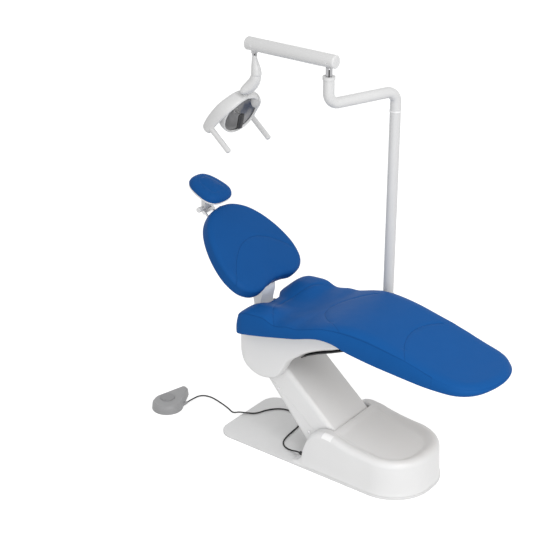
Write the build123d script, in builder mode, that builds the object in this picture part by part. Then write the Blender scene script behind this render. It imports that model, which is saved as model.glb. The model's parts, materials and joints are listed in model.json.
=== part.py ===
"""Dental chair: hydraulic parallel-arm lift, reclining back, sliding headrest, operating light, foot control.

Millimetres.  X is across the chair, -Y is the foot end, +Y the head end, +Z up.
The origin is the centre of the base plate's underside, on the floor.
"""
from build123d import *
from math import atan2, cos, degrees, hypot, pi, radians, sin, sqrt
import os

os.makedirs("parts", exist_ok=True)

# ---------------------------------------------------------------- driving dimensions
PLATE_WIDTH = 450.0
PLATE_LENGTH = 1094.0
PLATE_THICKNESS = 12.0
PLATE_FRONT_RADIUS = 205.0
PLATE_REAR_RADIUS = 80.0
COVER_WALL = 4.0

LOWER_PIVOT = (-55.0, 130.0)          # Y, Z of the lift arm's lower hinge
ARM_LENGTH = 470.0
ARM_ANGLE = 40.2                      # of the arm above the horizontal, as modelled
TIE_OFFSET = 60.0                     # the parallel link's pivots, above the arm's
ARM_HALF_WIDTH = 148.0
ARM_NOSE = 86.8                       # front face from the pivot line
ARM_BACK = 112.0                      # rear face from the lower pivot
ARM_BACK_ANGLE = 48.6                 # slope of the rear face
ARM_WALL = 3.0
SLOT_HALF_WIDTH = 152.0               # the slot in the base cover and in the shroud
MOULDED_RADIUS = 25.0

CRANK_RADIUS = 60.0
CRANK_LEAD = 19.5                     # crank past straight down, as modelled
RAM_HEIGHT = 73.0

SHROUD_HALF_WIDTH = 200.0
SEAT_HALF_WIDTH = 263.0
BOARD_THICKNESS = 12.0

BACK_HINGE = (420.0, 632.0)
BACK_CENTRE = (500.0, 915.0)
BACK_ANGLE = 40.0
BACK_THICKNESS = 70.0
HEAD_CENTRE = (745.0, 1186.5)
HEAD_ANGLE = 20.0
HEAD_THICKNESS = 50.0

POST_X, POST_Y = 340.0, -56.0
POST_RADIUS = 25.0
RISER_Y = 72.0
LIGHT_ARM_Z = 1725.0
SPRING_ARM_Z = 1922.0
SPRING_ARM_RADIUS = 30.5
YOKE_Y = 478.0
LAMP_CENTRE = (14.0, 578.0, 1575.0)
LAMP_YAW = -8.0
LAMP_DIP = 23.7
RUNNING_GAP = 0.05

CORD_RADIUS = 3.5
GLAND = (-168.0, 80.0, 36.0)
GLAND_RADIUS = 9.0


def upper_pivot(offset=0.0):
    """Y and Z of the lift arm's upper hinge, or of the parallel link's."""
    return (
        LOWER_PIVOT[0] + ARM_LENGTH * cos(radians(ARM_ANGLE)),
        LOWER_PIVOT[1] + ARM_LENGTH * sin(radians(ARM_ANGLE)) + offset,
    )


def save(part, name):
    """Label a finished piece and write its STEP file."""
    part.part.label = name
    export_step(part.part, f"parts/{name}.step")


def side_plane(x=0.0):
    """A plane across the chair at x: its own axes are Y and Z."""
    return Plane(origin=(x, 0, 0), x_dir=(0, 1, 0), z_dir=(1, 0, 0))


def along_y(y, z, x=0.0):
    """A plane facing the head end, for round parts that lie along the chair."""
    return Plane(origin=(x, y, z), x_dir=(-1, 0, 0), z_dir=(0, 1, 0))


UPPER_PIVOT = upper_pivot()
LOWER_TIE = (LOWER_PIVOT[0], LOWER_PIVOT[1] + TIE_OFFSET)
UPPER_TIE = upper_pivot(TIE_OFFSET)


# ================================================================ base
with BuildPart() as base_plate:
    with BuildSketch() as plate_outline:
        Rectangle(PLATE_WIDTH, PLATE_LENGTH)
        corners = plate_outline.vertices().group_by(Axis.Y)
        fillet(corners[-1], PLATE_REAR_RADIUS)
        fillet(plate_outline.vertices().group_by(Axis.Y)[0], PLATE_FRONT_RADIUS)
    extrude(amount=PLATE_THICKNESS)
    fillet(base_plate.edges().group_by(Axis.Z)[-1], 3)
save(base_plate, "base_plate")

# The base cover is a D in plan, humped beside the arm, with a sunk top sloping to the front.
COVER_REAR = 95.0
COVER_TOP = [(COVER_REAR, 12), (58, 35), (42, 66), (34, 107), (20, 146), (-4, 182), (-36, 206),
             (-72, 217), (-112, 216), (-200, 198), (-300, 188), (-400, 185), (-545, 186)]
DISH_FLOOR = [(-90, 212), (-150, 190), (-220, 170), (-300, 157), (-400, 150), (-460, 156), (-505, 176)]


def cover_blank(inset, top_drop):
    """The base cover's outside shape, or its inside with the wall taken off."""
    half = PLATE_WIDTH / 2 - 2 - inset
    front = -PLATE_LENGTH / 2 + 2 + inset
    with BuildPart() as blank:
        with BuildSketch(Plane.XY.offset(PLATE_THICKNESS)):
            with BuildLine():
                FilletPolyline((-half, 130), (-half, front), (half, front), (half, 130),
                               radius=PLATE_FRONT_RADIUS - 2 - inset)
                Line((half, 130), (-half, 130))
            make_face()
        extrude(amount=260, taper=3)
        with BuildSketch(side_plane()):
            with BuildLine():
                Spline(*[(y - inset * 0.8, z - top_drop) for y, z in COVER_TOP])
                Polyline((COVER_TOP[-1][0] - inset * 0.8, COVER_TOP[-1][1] - top_drop), (-600, 150), (-600, 0),
                         (COVER_REAR - inset * 0.8, 0), (COVER_REAR - inset * 0.8, COVER_TOP[0][1] - top_drop))
            make_face()
        extrude(amount=260, both=True, mode=Mode.INTERSECT)
    return blank.part


def dish(inset, drop):
    """The sunk top between the rims: inset and drop grow it for the skin under the floor."""
    half = 178 + inset
    with BuildPart() as pocket:
        with BuildSketch(Plane.XY.offset(60)):
            with BuildLine():
                FilletPolyline((-half, 0), (-half, -500 - inset), (half, -500 - inset), (half, 0),
                               radius=160 + inset)
                Line((half, 0), (-half, 0))
            make_face()
        extrude(amount=300)
        with BuildSketch(side_plane()):
            with BuildLine():
                Spline(*[(y, z - drop) for y, z in DISH_FLOOR])
                Polyline((DISH_FLOOR[-1][0], DISH_FLOOR[-1][1] - drop), (-560, 200), (-560, 300), (-90, 300),
                         (-90, DISH_FLOOR[0][1] - drop))
            make_face()
        extrude(amount=260, both=True, mode=Mode.INTERSECT)
    return pocket.part


def arm_slot(half, radius):
    """The slot that the lift arm stands in: round about the lower pivot, open behind."""
    with BuildPart() as slot:
        with BuildSketch(side_plane()):
            with Locations(LOWER_PIVOT):
                Circle(radius)
            with BuildLine():
                Polyline((LOWER_PIVOT[0], 0), (LOWER_PIVOT[0] - radius, 0),
                         (LOWER_PIVOT[0] - radius, LOWER_PIVOT[1]), (-104, LOWER_PIVOT[1]),
                         (-104, 400), (200, 400), (200, 0), (LOWER_PIVOT[0], 0))
            make_face()
        extrude(amount=half, both=True)
    return slot.part


cover_outside = cover_blank(0, 0)
cover_inside = cover_blank(COVER_WALL, COVER_WALL)
sunk_top = dish(0, 0)
sunk_top_skin = dish(COVER_WALL, COVER_WALL)
slot_in_cover = arm_slot(SLOT_HALF_WIDTH, 92)

with BuildPart() as cover_hollow:
    add(cover_inside)
    add(sunk_top_skin, mode=Mode.SUBTRACT)
    with Locations((SLOT_HALF_WIDTH + 1.5, 0, 150), (-SLOT_HALF_WIDTH - 1.5, 0, 150)):
        Box(3, 290, 300, mode=Mode.SUBTRACT)

with BuildPart() as base_cover:
    add(cover_outside)
    add(sunk_top, mode=Mode.SUBTRACT)
    add(slot_in_cover, mode=Mode.SUBTRACT)
    add(cover_hollow.part, mode=Mode.SUBTRACT)
    with BuildSketch(along_y(GLAND[1] - 35, GLAND[2], GLAND[0])):
        Circle(GLAND_RADIUS)
    extrude(amount=60, mode=Mode.SUBTRACT)
save(base_cover, "base_cover")

# The foot control's cord enters the cover through a gland.
with BuildPart() as cord_gland:
    with BuildSketch(along_y(GLAND[1] - 32, GLAND[2], GLAND[0])):
        Circle(GLAND_RADIUS)
    extrude(amount=32)
    with BuildSketch(along_y(GLAND[1] - 34, GLAND[2], GLAND[0])):
        Circle(CORD_RADIUS)
    extrude(amount=30, mode=Mode.SUBTRACT)
save(cord_gland, "cord_gland")

# A plain stick-on plate lies on the near rim.
with BuildPart() as blank_plate:
    with BuildSketch(Plane(origin=(-186, -118, 222.5), x_dir=(0.96, 0.1, 0.25), z_dir=(-0.25, -0.02, 0.97))):
        RectangleRounded(38, 44, 3)
    extrude(amount=1.0)
save(blank_plate, "blank_plate")

# The steel pivot bracket holds the arm's hinge shaft and the parallel link's pin.
CHEEK_INNER = 114.0
CHEEK_THICKNESS = 12.0
SHAFT_RADIUS = 15.0
TIE_PIN_RADIUS = 8.0
FOOT_THICKNESS = 10.0
cheek_y, cheek_z = LOWER_PIVOT


def cheek_profile():
    """The side view of one bracket cheek, with its two bores."""
    with BuildSketch(side_plane()) as cheek:
        with BuildLine():
            Polyline((-125, PLATE_THICKNESS), (0, PLATE_THICKNESS), (0, 30), (cheek_y + 28, cheek_z - 8),
                     (cheek_y + 28, cheek_z + 8), (cheek_y + 16, LOWER_TIE[1]), (cheek_y - 16, LOWER_TIE[1]),
                     (cheek_y - 30, cheek_z), (-125, 30), (-125, PLATE_THICKNESS))
        make_face()
        with Locations(LOWER_TIE):
            Circle(16)
        with Locations(LOWER_PIVOT):
            Circle(30)
            Circle(SHAFT_RADIUS, mode=Mode.SUBTRACT)
        with Locations(LOWER_TIE):
            Circle(TIE_PIN_RADIUS, mode=Mode.SUBTRACT)
    return cheek.sketch_local


cheek_face = cheek_profile()
with BuildPart() as pivot_bracket:
    for side_x in (CHEEK_INNER, -CHEEK_INNER - CHEEK_THICKNESS):
        with BuildSketch(side_plane(side_x)):
            add(cheek_face)
        extrude(amount=CHEEK_THICKNESS)
    with Locations((0, -62.5, PLATE_THICKNESS + FOOT_THICKNESS / 2)):
        Box(2 * (CHEEK_INNER + CHEEK_THICKNESS), 125, FOOT_THICKNESS)
save(pivot_bracket, "pivot_bracket")


def cross_pin(centre, radius, half_length, name, head=0.0):
    """A plain round pin across the chair, with a flange at each end where head is given."""
    with BuildPart() as pin:
        with BuildSketch(side_plane()):
            with Locations(centre):
                Circle(radius)
        extrude(amount=half_length, both=True)
        if head:
            for side_x in (half_length, -half_length - 4):
                with BuildSketch(side_plane(side_x)):
                    with Locations(centre):
                        Circle(radius + head)
                extrude(amount=4)
    save(pin, name)
    return pin


PIN_HALF = CHEEK_INNER + CHEEK_THICKNESS
cross_pin(LOWER_PIVOT, SHAFT_RADIUS, PIN_HALF, "lower_pivot_shaft", head=5)
cross_pin(LOWER_TIE, TIE_PIN_RADIUS, PIN_HALF, "lower_link_pin", head=4)

# The hydraulic cylinder lies along the base and pushes a slotted yoke on the arm's crank pin.
CYLINDER_REAR, CYLINDER_FRONT = -185.0, -425.0
CYLINDER_RADIUS, CYLINDER_BORE, RAM_RADIUS = 30.0, 22.0, 12.0
FORK_LENGTH, FORK_HALF_WIDTH = 44.0, 18.0
CRANK_PIN_RADIUS = 8.0
CRANK_PIN = (
    LOWER_PIVOT[0] + CRANK_RADIUS * sin(radians(CRANK_LEAD)),
    LOWER_PIVOT[1] - CRANK_RADIUS * cos(radians(CRANK_LEAD)),
)


with BuildPart() as lift_cylinder:
    with BuildSketch(along_y(CYLINDER_FRONT, RAM_HEIGHT)):
        Circle(CYLINDER_RADIUS)
    extrude(amount=CYLINDER_REAR - CYLINDER_FRONT)
    with BuildSketch(along_y(CYLINDER_FRONT + 12, RAM_HEIGHT)):
        Circle(CYLINDER_BORE)
    extrude(amount=CYLINDER_REAR - CYLINDER_FRONT - 27, mode=Mode.SUBTRACT)
    with BuildSketch(along_y(CYLINDER_REAR - 20, RAM_HEIGHT)):
        Circle(RAM_RADIUS + RUNNING_GAP)
    extrude(amount=30, mode=Mode.SUBTRACT)
    for saddle_y in (CYLINDER_FRONT + 20, CYLINDER_REAR - 45):
        with BuildSketch(along_y(saddle_y, RAM_HEIGHT)):
            with Locations((0, (PLATE_THICKNESS - RAM_HEIGHT) / 2)):
                Rectangle(90, RAM_HEIGHT - PLATE_THICKNESS)
            Circle(CYLINDER_RADIUS - 1, mode=Mode.SUBTRACT)
        extrude(amount=25)
save(lift_cylinder, "lift_cylinder")

with BuildPart() as lift_ram:
    fork_back = CRANK_PIN[0] - FORK_LENGTH / 2
    with BuildSketch(along_y(-262, RAM_HEIGHT)):
        Circle(CYLINDER_BORE - RUNNING_GAP)
    extrude(amount=16)
    with BuildSketch(along_y(-247, RAM_HEIGHT)):
        Circle(RAM_RADIUS)
    extrude(amount=fork_back + 247.5)
    with Locations((0, CRANK_PIN[0], RAM_HEIGHT)):
        Box(2 * FORK_HALF_WIDTH, FORK_LENGTH, 56)
        Box(2 * FORK_HALF_WIDTH + 2, 2 * CRANK_PIN_RADIUS + 2, 32, mode=Mode.SUBTRACT)
save(lift_ram, "lift_ram")

# The power unit stands beside the cylinder: motor and pump, and the oil tank.
with BuildPart() as pump_motor:
    with BuildSketch(along_y(-400, 62, x=105)):
        Circle(44)
    extrude(amount=150)
    with BuildSketch(along_y(-250, 62, x=105)):
        Rectangle(76, 76)
    extrude(amount=50)
    with Locations((105, -325, PLATE_THICKNESS + 8)):
        Box(80, 150, 16)
save(pump_motor, "pump_motor")

with BuildPart() as oil_tank:
    with Locations((-105, -315, PLATE_THICKNESS + 46)):
        Box(86, 170, 92)
    fillet(oil_tank.edges().filter_by(Axis.Z), 14)
    with BuildSketch(Plane.XY.offset(PLATE_THICKNESS + 92)):
        with Locations((-105, -360)):
            Circle(14)
    extrude(amount=10)
save(oil_tank, "oil_tank")


# ================================================================ lift arm
along = (cos(radians(ARM_ANGLE)), sin(radians(ARM_ANGLE)))
across = (-along[1], along[0])
back_dir = (cos(radians(ARM_BACK_ANGLE)), sin(radians(ARM_BACK_ANGLE)))
back_out = (back_dir[1], -back_dir[0])


def arm_point(distance, rise):
    """Y and Z of a point on the arm: distance from the lower pivot, rise above the pivot line."""
    return (
        LOWER_PIVOT[0] + distance * along[0] + rise * across[0],
        LOWER_PIVOT[1] + distance * along[1] + rise * across[1],
    )


def about_pivot(radius, angle):
    """Y and Z of a point at an angle about the lower pivot."""
    return (LOWER_PIVOT[0] + radius * cos(radians(angle)), LOWER_PIVOT[1] + radius * sin(radians(angle)))


def rear_point(distance, inset=0.0):
    """Y and Z on the arm's rear face, measured along it from its foot."""
    reach = ARM_BACK - inset
    return (
        LOWER_PIVOT[0] + reach * back_out[0] + distance * back_dir[0],
        LOWER_PIVOT[1] + reach * back_out[1] + distance * back_dir[1],
    )


def arm_blank(inset, half_width, overrun, radius):
    """The arm's outside shape in side view, or its inside with the wall taken off."""
    nose = ARM_NOSE - inset
    tail = ARM_BACK - inset
    with BuildPart() as blank:
        with BuildSketch(side_plane()):
            with BuildLine():
                front_foot = about_pivot(nose, ARM_ANGLE + 90)
                rear_foot = about_pivot(tail, ARM_BACK_ANGLE - 90)
                Line(front_foot, arm_point(430 + overrun, nose))
                Line(arm_point(430 + overrun, nose), rear_point(440 + overrun, inset))
                Line(rear_point(440 + overrun, inset), rear_foot)
                ThreePointArc(rear_foot, about_pivot(tail, -85), about_pivot(tail, -120))
                Line(about_pivot(tail, -120), about_pivot(nose, 184))
                ThreePointArc(about_pivot(nose, 184), about_pivot(nose, 155), front_foot)
            make_face()
        extrude(amount=half_width, both=True)
        moulded = blank.edges().filter_by(
            lambda e: abs(e.center().X) > half_width - 1 and e.center().Z < UPPER_PIVOT[1] - 10)
        fillet(moulded, radius)
    return blank.part


arm_outside = arm_blank(0, ARM_HALF_WIDTH, 0, MOULDED_RADIUS)
arm_inside = arm_blank(ARM_WALL, ARM_HALF_WIDTH - ARM_WALL, 12, MOULDED_RADIUS - ARM_WALL)
SEAM = [(-300, -69), (6, 165), (248, 350), (700, 695.6)]
SEAM_GAP = 1.2
WINDOW_HALF_WIDTH = 143.0


def seam_side(above):
    """The half of the side view above or below the seam between the arm's two covers."""
    shift = SEAM_GAP / 2 if above else -SEAM_GAP / 2
    line = [(y, z + shift) for y, z in SEAM]
    limit = 900 if above else -300
    with BuildPart() as half:
        with BuildSketch(side_plane()):
            with BuildLine():
                Polyline(*line, (700, limit), (-300, limit), line[0])
            make_face()
        extrude(amount=300, both=True)
    return half.part


def open_floor():
    """The way in from below for the ram and the bracket, between the covers' side walls."""
    with BuildPart() as window:
        with BuildSketch(side_plane()):
            with BuildLine():
                Polyline(about_pivot(160, 184), LOWER_PIVOT, about_pivot(200, -13.5), about_pivot(200, -60),
                         about_pivot(200, -120), about_pivot(160, 184))
            make_face()
        extrude(amount=WINDOW_HALF_WIDTH, both=True)
    return window.part


upper_half, lower_half, floor_window = seam_side(True), seam_side(False), open_floor()
for cover_name, keep in (("arm_front_cover", upper_half), ("arm_rear_cover", lower_half)):
    with BuildPart() as arm_cover:
        add(arm_outside)
        add(arm_inside, mode=Mode.SUBTRACT)
        add(floor_window, mode=Mode.SUBTRACT)
        add(keep, mode=Mode.INTERSECT)
    save(arm_cover, cover_name)

BEAM_INNER, BEAM_THICKNESS = 100.0, 10.0
BUSH_THICKNESS = 3.0
UPPER_SHAFT_RADIUS = 14.0
TUBE_RADIUS = 25.0


def beam_profile():
    """Side view of one beam plate, with the bores for the two bushes."""
    with BuildSketch(side_plane()) as plate:
        with BuildLine():
            Polyline(about_pivot(31, ARM_ANGLE + 90), arm_point(ARM_LENGTH, 29), arm_point(ARM_LENGTH, -29),
                     about_pivot(31, ARM_ANGLE - 90), about_pivot(31, ARM_ANGLE + 90))
        make_face()
        with Locations(LOWER_PIVOT):
            Circle(31)
        with Locations(UPPER_PIVOT):
            Circle(29)
        with Locations(LOWER_PIVOT):
            Circle(SHAFT_RADIUS + BUSH_THICKNESS, mode=Mode.SUBTRACT)
        with Locations(UPPER_PIVOT):
            Circle(UPPER_SHAFT_RADIUS + BUSH_THICKNESS, mode=Mode.SUBTRACT)
    return plate.sketch_local


beam_face = beam_profile()
STANDOFFS = [(42, 156), arm_point(340, -28)]        # the covers are screwed to these
with BuildPart() as arm_beam:
    with BuildSketch(side_plane()):
        with Locations(LOWER_PIVOT):
            Circle(TUBE_RADIUS)
            Circle(SHAFT_RADIUS + BUSH_THICKNESS, mode=Mode.SUBTRACT)
    extrude(amount=BEAM_INNER, both=True)
    for cross_distance in (150, 330):
        with BuildSketch(side_plane()):
            with Locations(arm_point(cross_distance, -8)):
                Circle(16)
        extrude(amount=BEAM_INNER, both=True)
    for side_x in (BEAM_INNER, -BEAM_INNER - BEAM_THICKNESS):
        with BuildSketch(side_plane(side_x)):
            add(beam_face)
            with BuildLine():
                Polyline((-40, 112), (46, 145), (46, 167), (-20, 170), close=True)
            make_face()
            with Locations(LOWER_PIVOT):
                Circle(SHAFT_RADIUS + BUSH_THICKNESS, mode=Mode.SUBTRACT)
        extrude(amount=BEAM_THICKNESS)
    for side_x in (22, -32):
        with BuildSketch(side_plane(side_x)):
            with BuildLine():
                lead = -90 + CRANK_LEAD
                toward = (cos(radians(lead)), sin(radians(lead)))
                square = (-toward[1] * 14, toward[0] * 14)
                root = (LOWER_PIVOT[0] + toward[0] * 20, LOWER_PIVOT[1] + toward[1] * 20)
                Polyline((root[0] + square[0], root[1] + square[1]),
                         (CRANK_PIN[0] + square[0], CRANK_PIN[1] + square[1]),
                         (CRANK_PIN[0] - square[0], CRANK_PIN[1] - square[1]),
                         (root[0] - square[0], root[1] - square[1]), close=True)
            make_face()
            with Locations(CRANK_PIN):
                Circle(14)
        extrude(amount=10)
    with BuildSketch(side_plane()):
        with Locations(CRANK_PIN):
            Circle(CRANK_PIN_RADIUS)
    extrude(amount=32, both=True)
    for side_x in (BEAM_INNER + BEAM_THICKNESS, -ARM_HALF_WIDTH + ARM_WALL):
        for spot in STANDOFFS:
            with BuildSketch(side_plane(side_x)):
                with Locations(spot):
                    Circle(9)
            extrude(amount=ARM_HALF_WIDTH - ARM_WALL - BEAM_INNER - BEAM_THICKNESS)
save(arm_beam, "arm_beam")

# Bronze bushes are pressed into the beam plates at both hinges.
with BuildPart() as arm_bushes:
    for centre, radius in ((LOWER_PIVOT, SHAFT_RADIUS), (UPPER_PIVOT, UPPER_SHAFT_RADIUS)):
        for side_x in (BEAM_INNER, -BEAM_INNER - BEAM_THICKNESS):
            with BuildSketch(side_plane(side_x)):
                with Locations(centre):
                    Circle(radius + BUSH_THICKNESS)
                    Circle(radius + RUNNING_GAP, mode=Mode.SUBTRACT)
            extrude(amount=BEAM_THICKNESS)
save(arm_bushes, "arm_bushes")

# A screw goes into each stand-off; its round cap shows on the cover.
with BuildPart() as cover_screws:
    for side_x in (ARM_HALF_WIDTH, -ARM_HALF_WIDTH - 1.5):
        for spot in STANDOFFS:
            with BuildSketch(side_plane(side_x)):
                with Locations(spot):
                    Circle(6.5)
            extrude(amount=1.5)
save(cover_screws, "cover_screws")

# ================================================================ parallel link
with BuildPart() as parallel_link:
    with BuildSketch(side_plane()):
        with BuildLine():
            Polyline(*[(LOWER_TIE[0] + run * along[0] + half * across[0],
                        LOWER_TIE[1] + run * along[1] + half * across[1])
                       for run, half in ((0, 10), (ARM_LENGTH, 10), (ARM_LENGTH, -10), (0, -10))], close=True)
        make_face()
    extrude(amount=9, both=True)
    with BuildSketch(side_plane()):
        with Locations(LOWER_TIE, UPPER_TIE):
            Circle(16)
    extrude(amount=14, both=True)
    with BuildSketch(side_plane()):
        with Locations(LOWER_TIE):
            Circle(TIE_PIN_RADIUS + RUNNING_GAP)
        with Locations(UPPER_TIE):
            Circle(TIE_PIN_RADIUS + 0.4)
    extrude(amount=20, both=True, mode=Mode.SUBTRACT)
save(parallel_link, "parallel_link")

# ================================================================ seat
SEAT_TOP = [(402, 684), (350, 700), (280, 714), (200, 721), (120, 731), (40, 752), (-40, 778), (-120, 798),
            (-200, 806), (-300, 800), (-420, 775), (-540, 745), (-650, 721), (-750, 706), (-846, 700)]
SEAT_BOTTOM = [(388, 612), (245, 642), (74, 684), (-90, 725), (-150, 718), (-200, 701), (-300, 681), (-450, 664),
               (-640, 652), (-760, 656), (-848, 668)]
SEAT_SIDE = [(SEAT_HALF_WIDTH, -40), (245, -180), (232, -340), (226, -500), (222, -650), (204, -750), (160, -822),
             (90, -866), (0, -882)]
SEAT_REAR = 405.0
SEAT_CORNER = 36.0
TOE = -882.0


def seat_outline(inset, plane):
    """The cushion's plan, drawn inset from its edge."""
    with BuildSketch(plane) as outline:
        with BuildLine():
            side = SEAT_HALF_WIDTH - inset
            rear = SEAT_REAR - inset
            corner = SEAT_CORNER - min(inset, 40) / 2
            Line((0, rear), (side - corner, rear))
            RadiusArc((side - corner, rear), (side, rear - corner), corner)
            Line((side, rear - corner), (side, SEAT_SIDE[0][1]))
            Spline(*[(x * (1 - inset / SEAT_HALF_WIDTH), y + inset * (y < -700) * (-y - 700) / 182)
                     for x, y in SEAT_SIDE], tangents=[(0, -1), (-1, 0)])
            mirror(about=Plane.YZ)
        make_face()
    return outline.sketch_local


def along_seat(top, bottom, half_width):
    """A body that follows the cushion's underside: top and bottom are depths below it."""
    with BuildPart() as layer:
        with BuildSketch(side_plane()):
            with BuildLine():
                upper = Spline(*[(y, z - top) for y, z in SEAT_BOTTOM])
                lower = Spline(*[(y, z - bottom) for y, z in SEAT_BOTTOM])
                Line(upper @ 0, lower @ 0)
                Line(upper @ 1, lower @ 1)
            make_face()
        extrude(amount=half_width, both=True)
    return layer.part


seat_plan = seat_outline(0, Plane.XY)
board_plan = seat_outline(40, Plane.XY)

with BuildPart() as seat_cushion:
    with BuildSketch(side_plane()):
        with BuildLine():
            top_line = Spline(*SEAT_TOP)
            bottom_line = Spline(*SEAT_BOTTOM)
            Line(top_line @ 0, bottom_line @ 0)
            ThreePointArc(top_line @ 1, (TOE, 684), bottom_line @ 1)
        make_face()
    extrude(amount=SEAT_HALF_WIDTH + 5, both=True)
    with BuildSketch(Plane.XY.offset(500)):
        add(seat_plan)
    extrude(amount=400, mode=Mode.INTERSECT)
    with Locations((0, 395, 660)):
        Box(126, 34, 160, mode=Mode.SUBTRACT)
save(seat_cushion, "seat_cushion")

board_layer = along_seat(0, BOARD_THICKNESS, 300)
with BuildPart() as seat_board:
    add(board_layer)
    with BuildSketch(Plane.XY.offset(500)):
        add(board_plan)
    extrude(amount=400, mode=Mode.INTERSECT)
    with Locations((0, 395, 660)):
        Box(130, 90, 160, mode=Mode.SUBTRACT)
    with Locations((SEAT_HALF_WIDTH, 130, 660), (-SEAT_HALF_WIDTH, 130, 660)):
        Box(2 * SEAT_HALF_WIDTH - 2 * 188, 620, 260, mode=Mode.SUBTRACT)
save(seat_board, "seat_board")

# The seat frame: a platform under the board, two rails, and cheeks down to the lift's upper hinges.
RAIL_INNER, RAIL_THICKNESS = 114.0, 12.0
FRAME_FRONT, FRAME_REAR = -130.0, 345.0
BACK_LUG_INNER, BACK_LUG_THICKNESS = 51.0, 10.0
BACK_PIN_RADIUS = 10.0


def cheek_down():
    """Side view of a seat cheek from the rail to the arm's upper hinge and the link's."""
    with BuildSketch(side_plane()) as cheek:
        with BuildLine():
            Polyline((UPPER_PIVOT[0] - 24, UPPER_PIVOT[1]), (UPPER_PIVOT[0] + 29, UPPER_PIVOT[1]),
                     (UPPER_PIVOT[0] + 40, 600), (UPPER_PIVOT[0] - 60, 610), (UPPER_PIVOT[0] - 24, 540),
                     close=True)
        make_face()
        with Locations(UPPER_PIVOT):
            Circle(28)
            Circle(UPPER_SHAFT_RADIUS, mode=Mode.SUBTRACT)
        with Locations(UPPER_TIE):
            Circle(TIE_PIN_RADIUS, mode=Mode.SUBTRACT)
    return cheek.sketch_local


def back_lug():
    """Side view of one of the two lugs that hold the backrest's hinge pin."""
    with BuildSketch(side_plane()) as lug:
        with BuildLine():
            Polyline((318, 570), (318, 606), (388, 604), (401, 632), (436, 620), (418, 575), (392, 556),
                     close=True)
        make_face()
        with Locations(BACK_HINGE):
            Circle(20)
            Circle(BACK_PIN_RADIUS, mode=Mode.SUBTRACT)
    return lug.sketch_local


platform = along_seat(BOARD_THICKNESS, BOARD_THICKNESS + 8, RAIL_INNER + RAIL_THICKNESS)
rails = along_seat(BOARD_THICKNESS + 6, BOARD_THICKNESS + 40, RAIL_INNER + RAIL_THICKNESS)
seat_cheek, rear_lug = cheek_down(), back_lug()
with BuildPart() as seat_frame:
    add(rails)
    with Locations((0, 0, 650)):
        Box(2 * RAIL_INNER, 2400, 400, mode=Mode.SUBTRACT)
    add(platform)
    with Locations((0, (FRAME_FRONT + FRAME_REAR) / 2, 650)):
        Box(400, FRAME_REAR - FRAME_FRONT, 400, mode=Mode.INTERSECT)
    for side_x in (RAIL_INNER, -RAIL_INNER - RAIL_THICKNESS):
        with BuildSketch(side_plane(side_x)):
            add(seat_cheek)
        extrude(amount=RAIL_THICKNESS)
    for side_x in (BACK_LUG_INNER, -BACK_LUG_INNER - BACK_LUG_THICKNESS):
        with BuildSketch(side_plane(side_x)):
            add(rear_lug)
        extrude(amount=BACK_LUG_THICKNESS)
save(seat_frame, "seat_frame")
cross_pin(UPPER_PIVOT, UPPER_SHAFT_RADIUS, PIN_HALF, "upper_pivot_shaft", head=5)
cross_pin(UPPER_TIE, TIE_PIN_RADIUS, PIN_HALF, "upper_link_pin", head=4)
cross_pin(BACK_HINGE, BACK_PIN_RADIUS, BACK_LUG_INNER + BACK_LUG_THICKNESS, "back_hinge_pin")

# The recline drive: a gearcase on the hinge pin, with its motor across the chair below it.
with BuildPart() as recline_motor:
    with BuildSketch(side_plane(BACK_LUG_INNER + BACK_LUG_THICKNESS)):
        with BuildLine():
            Polyline((BACK_HINGE[0] - 20, BACK_HINGE[1]), (BACK_HINGE[0] + 18, BACK_HINGE[1] - 10), (404, 543),
                     (356, 543), (356, 560), (396, 585), close=True)
        make_face()
        with Locations(BACK_HINGE):
            Circle(20)
        with Locations((380, 543)):
            Circle(25)
    extrude(amount=22)
    with BuildSketch(side_plane(BACK_LUG_INNER + BACK_LUG_THICKNESS + 22)):
        with Locations((380, 543)):
            Circle(23)
    extrude(amount=80)
save(recline_motor, "recline_motor")

# The shroud hangs under the seat: two cheeks beside the arm and a round rear.
SHROUD_CORNER = 70.0
SHROUD_BOTTOM = [(-186, 690), (-110, 656), (-36, 627), (20, 600), (72, 567), (113, 536), (150, 497), (172, 455),
                 (202, 414), (258, 390), (322, 388), (372, 412), (412, 455), (436, 510), (444, 560), (445, 590)]


def shroud_blank(inset):
    """The shroud's outside shape, or its inside with the wall taken off."""
    rear = 445 - inset
    half = SHROUD_HALF_WIDTH - inset
    with BuildPart() as blank:
        with BuildSketch(side_plane()):
            with BuildLine():
                low = Spline(*[(y - inset * (y > 380) + 0.35 * inset, z + inset * (y < 430))
                               for y, z in SHROUD_BOTTOM])
                rim = [(445 - 0.65 * inset, 600), (386, 608), (245, 638), (74, 679), (-90, 719), (-150, 714)]
                Polyline(low @ 1, *[(y, z + 2 * inset) for y, z in rim], low @ 0)
            make_face()
        extrude(amount=260, both=True)
        with BuildSketch(Plane.XY.offset(300)):
            with BuildLine():
                FilletPolyline((half, -260), (half, rear), (-half, rear), (-half, -260),
                               radius=SHROUD_CORNER - inset)
                Line((-half, -260), (half, -260))
            make_face()
        extrude(amount=500, mode=Mode.INTERSECT)
    return blank.part


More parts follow.
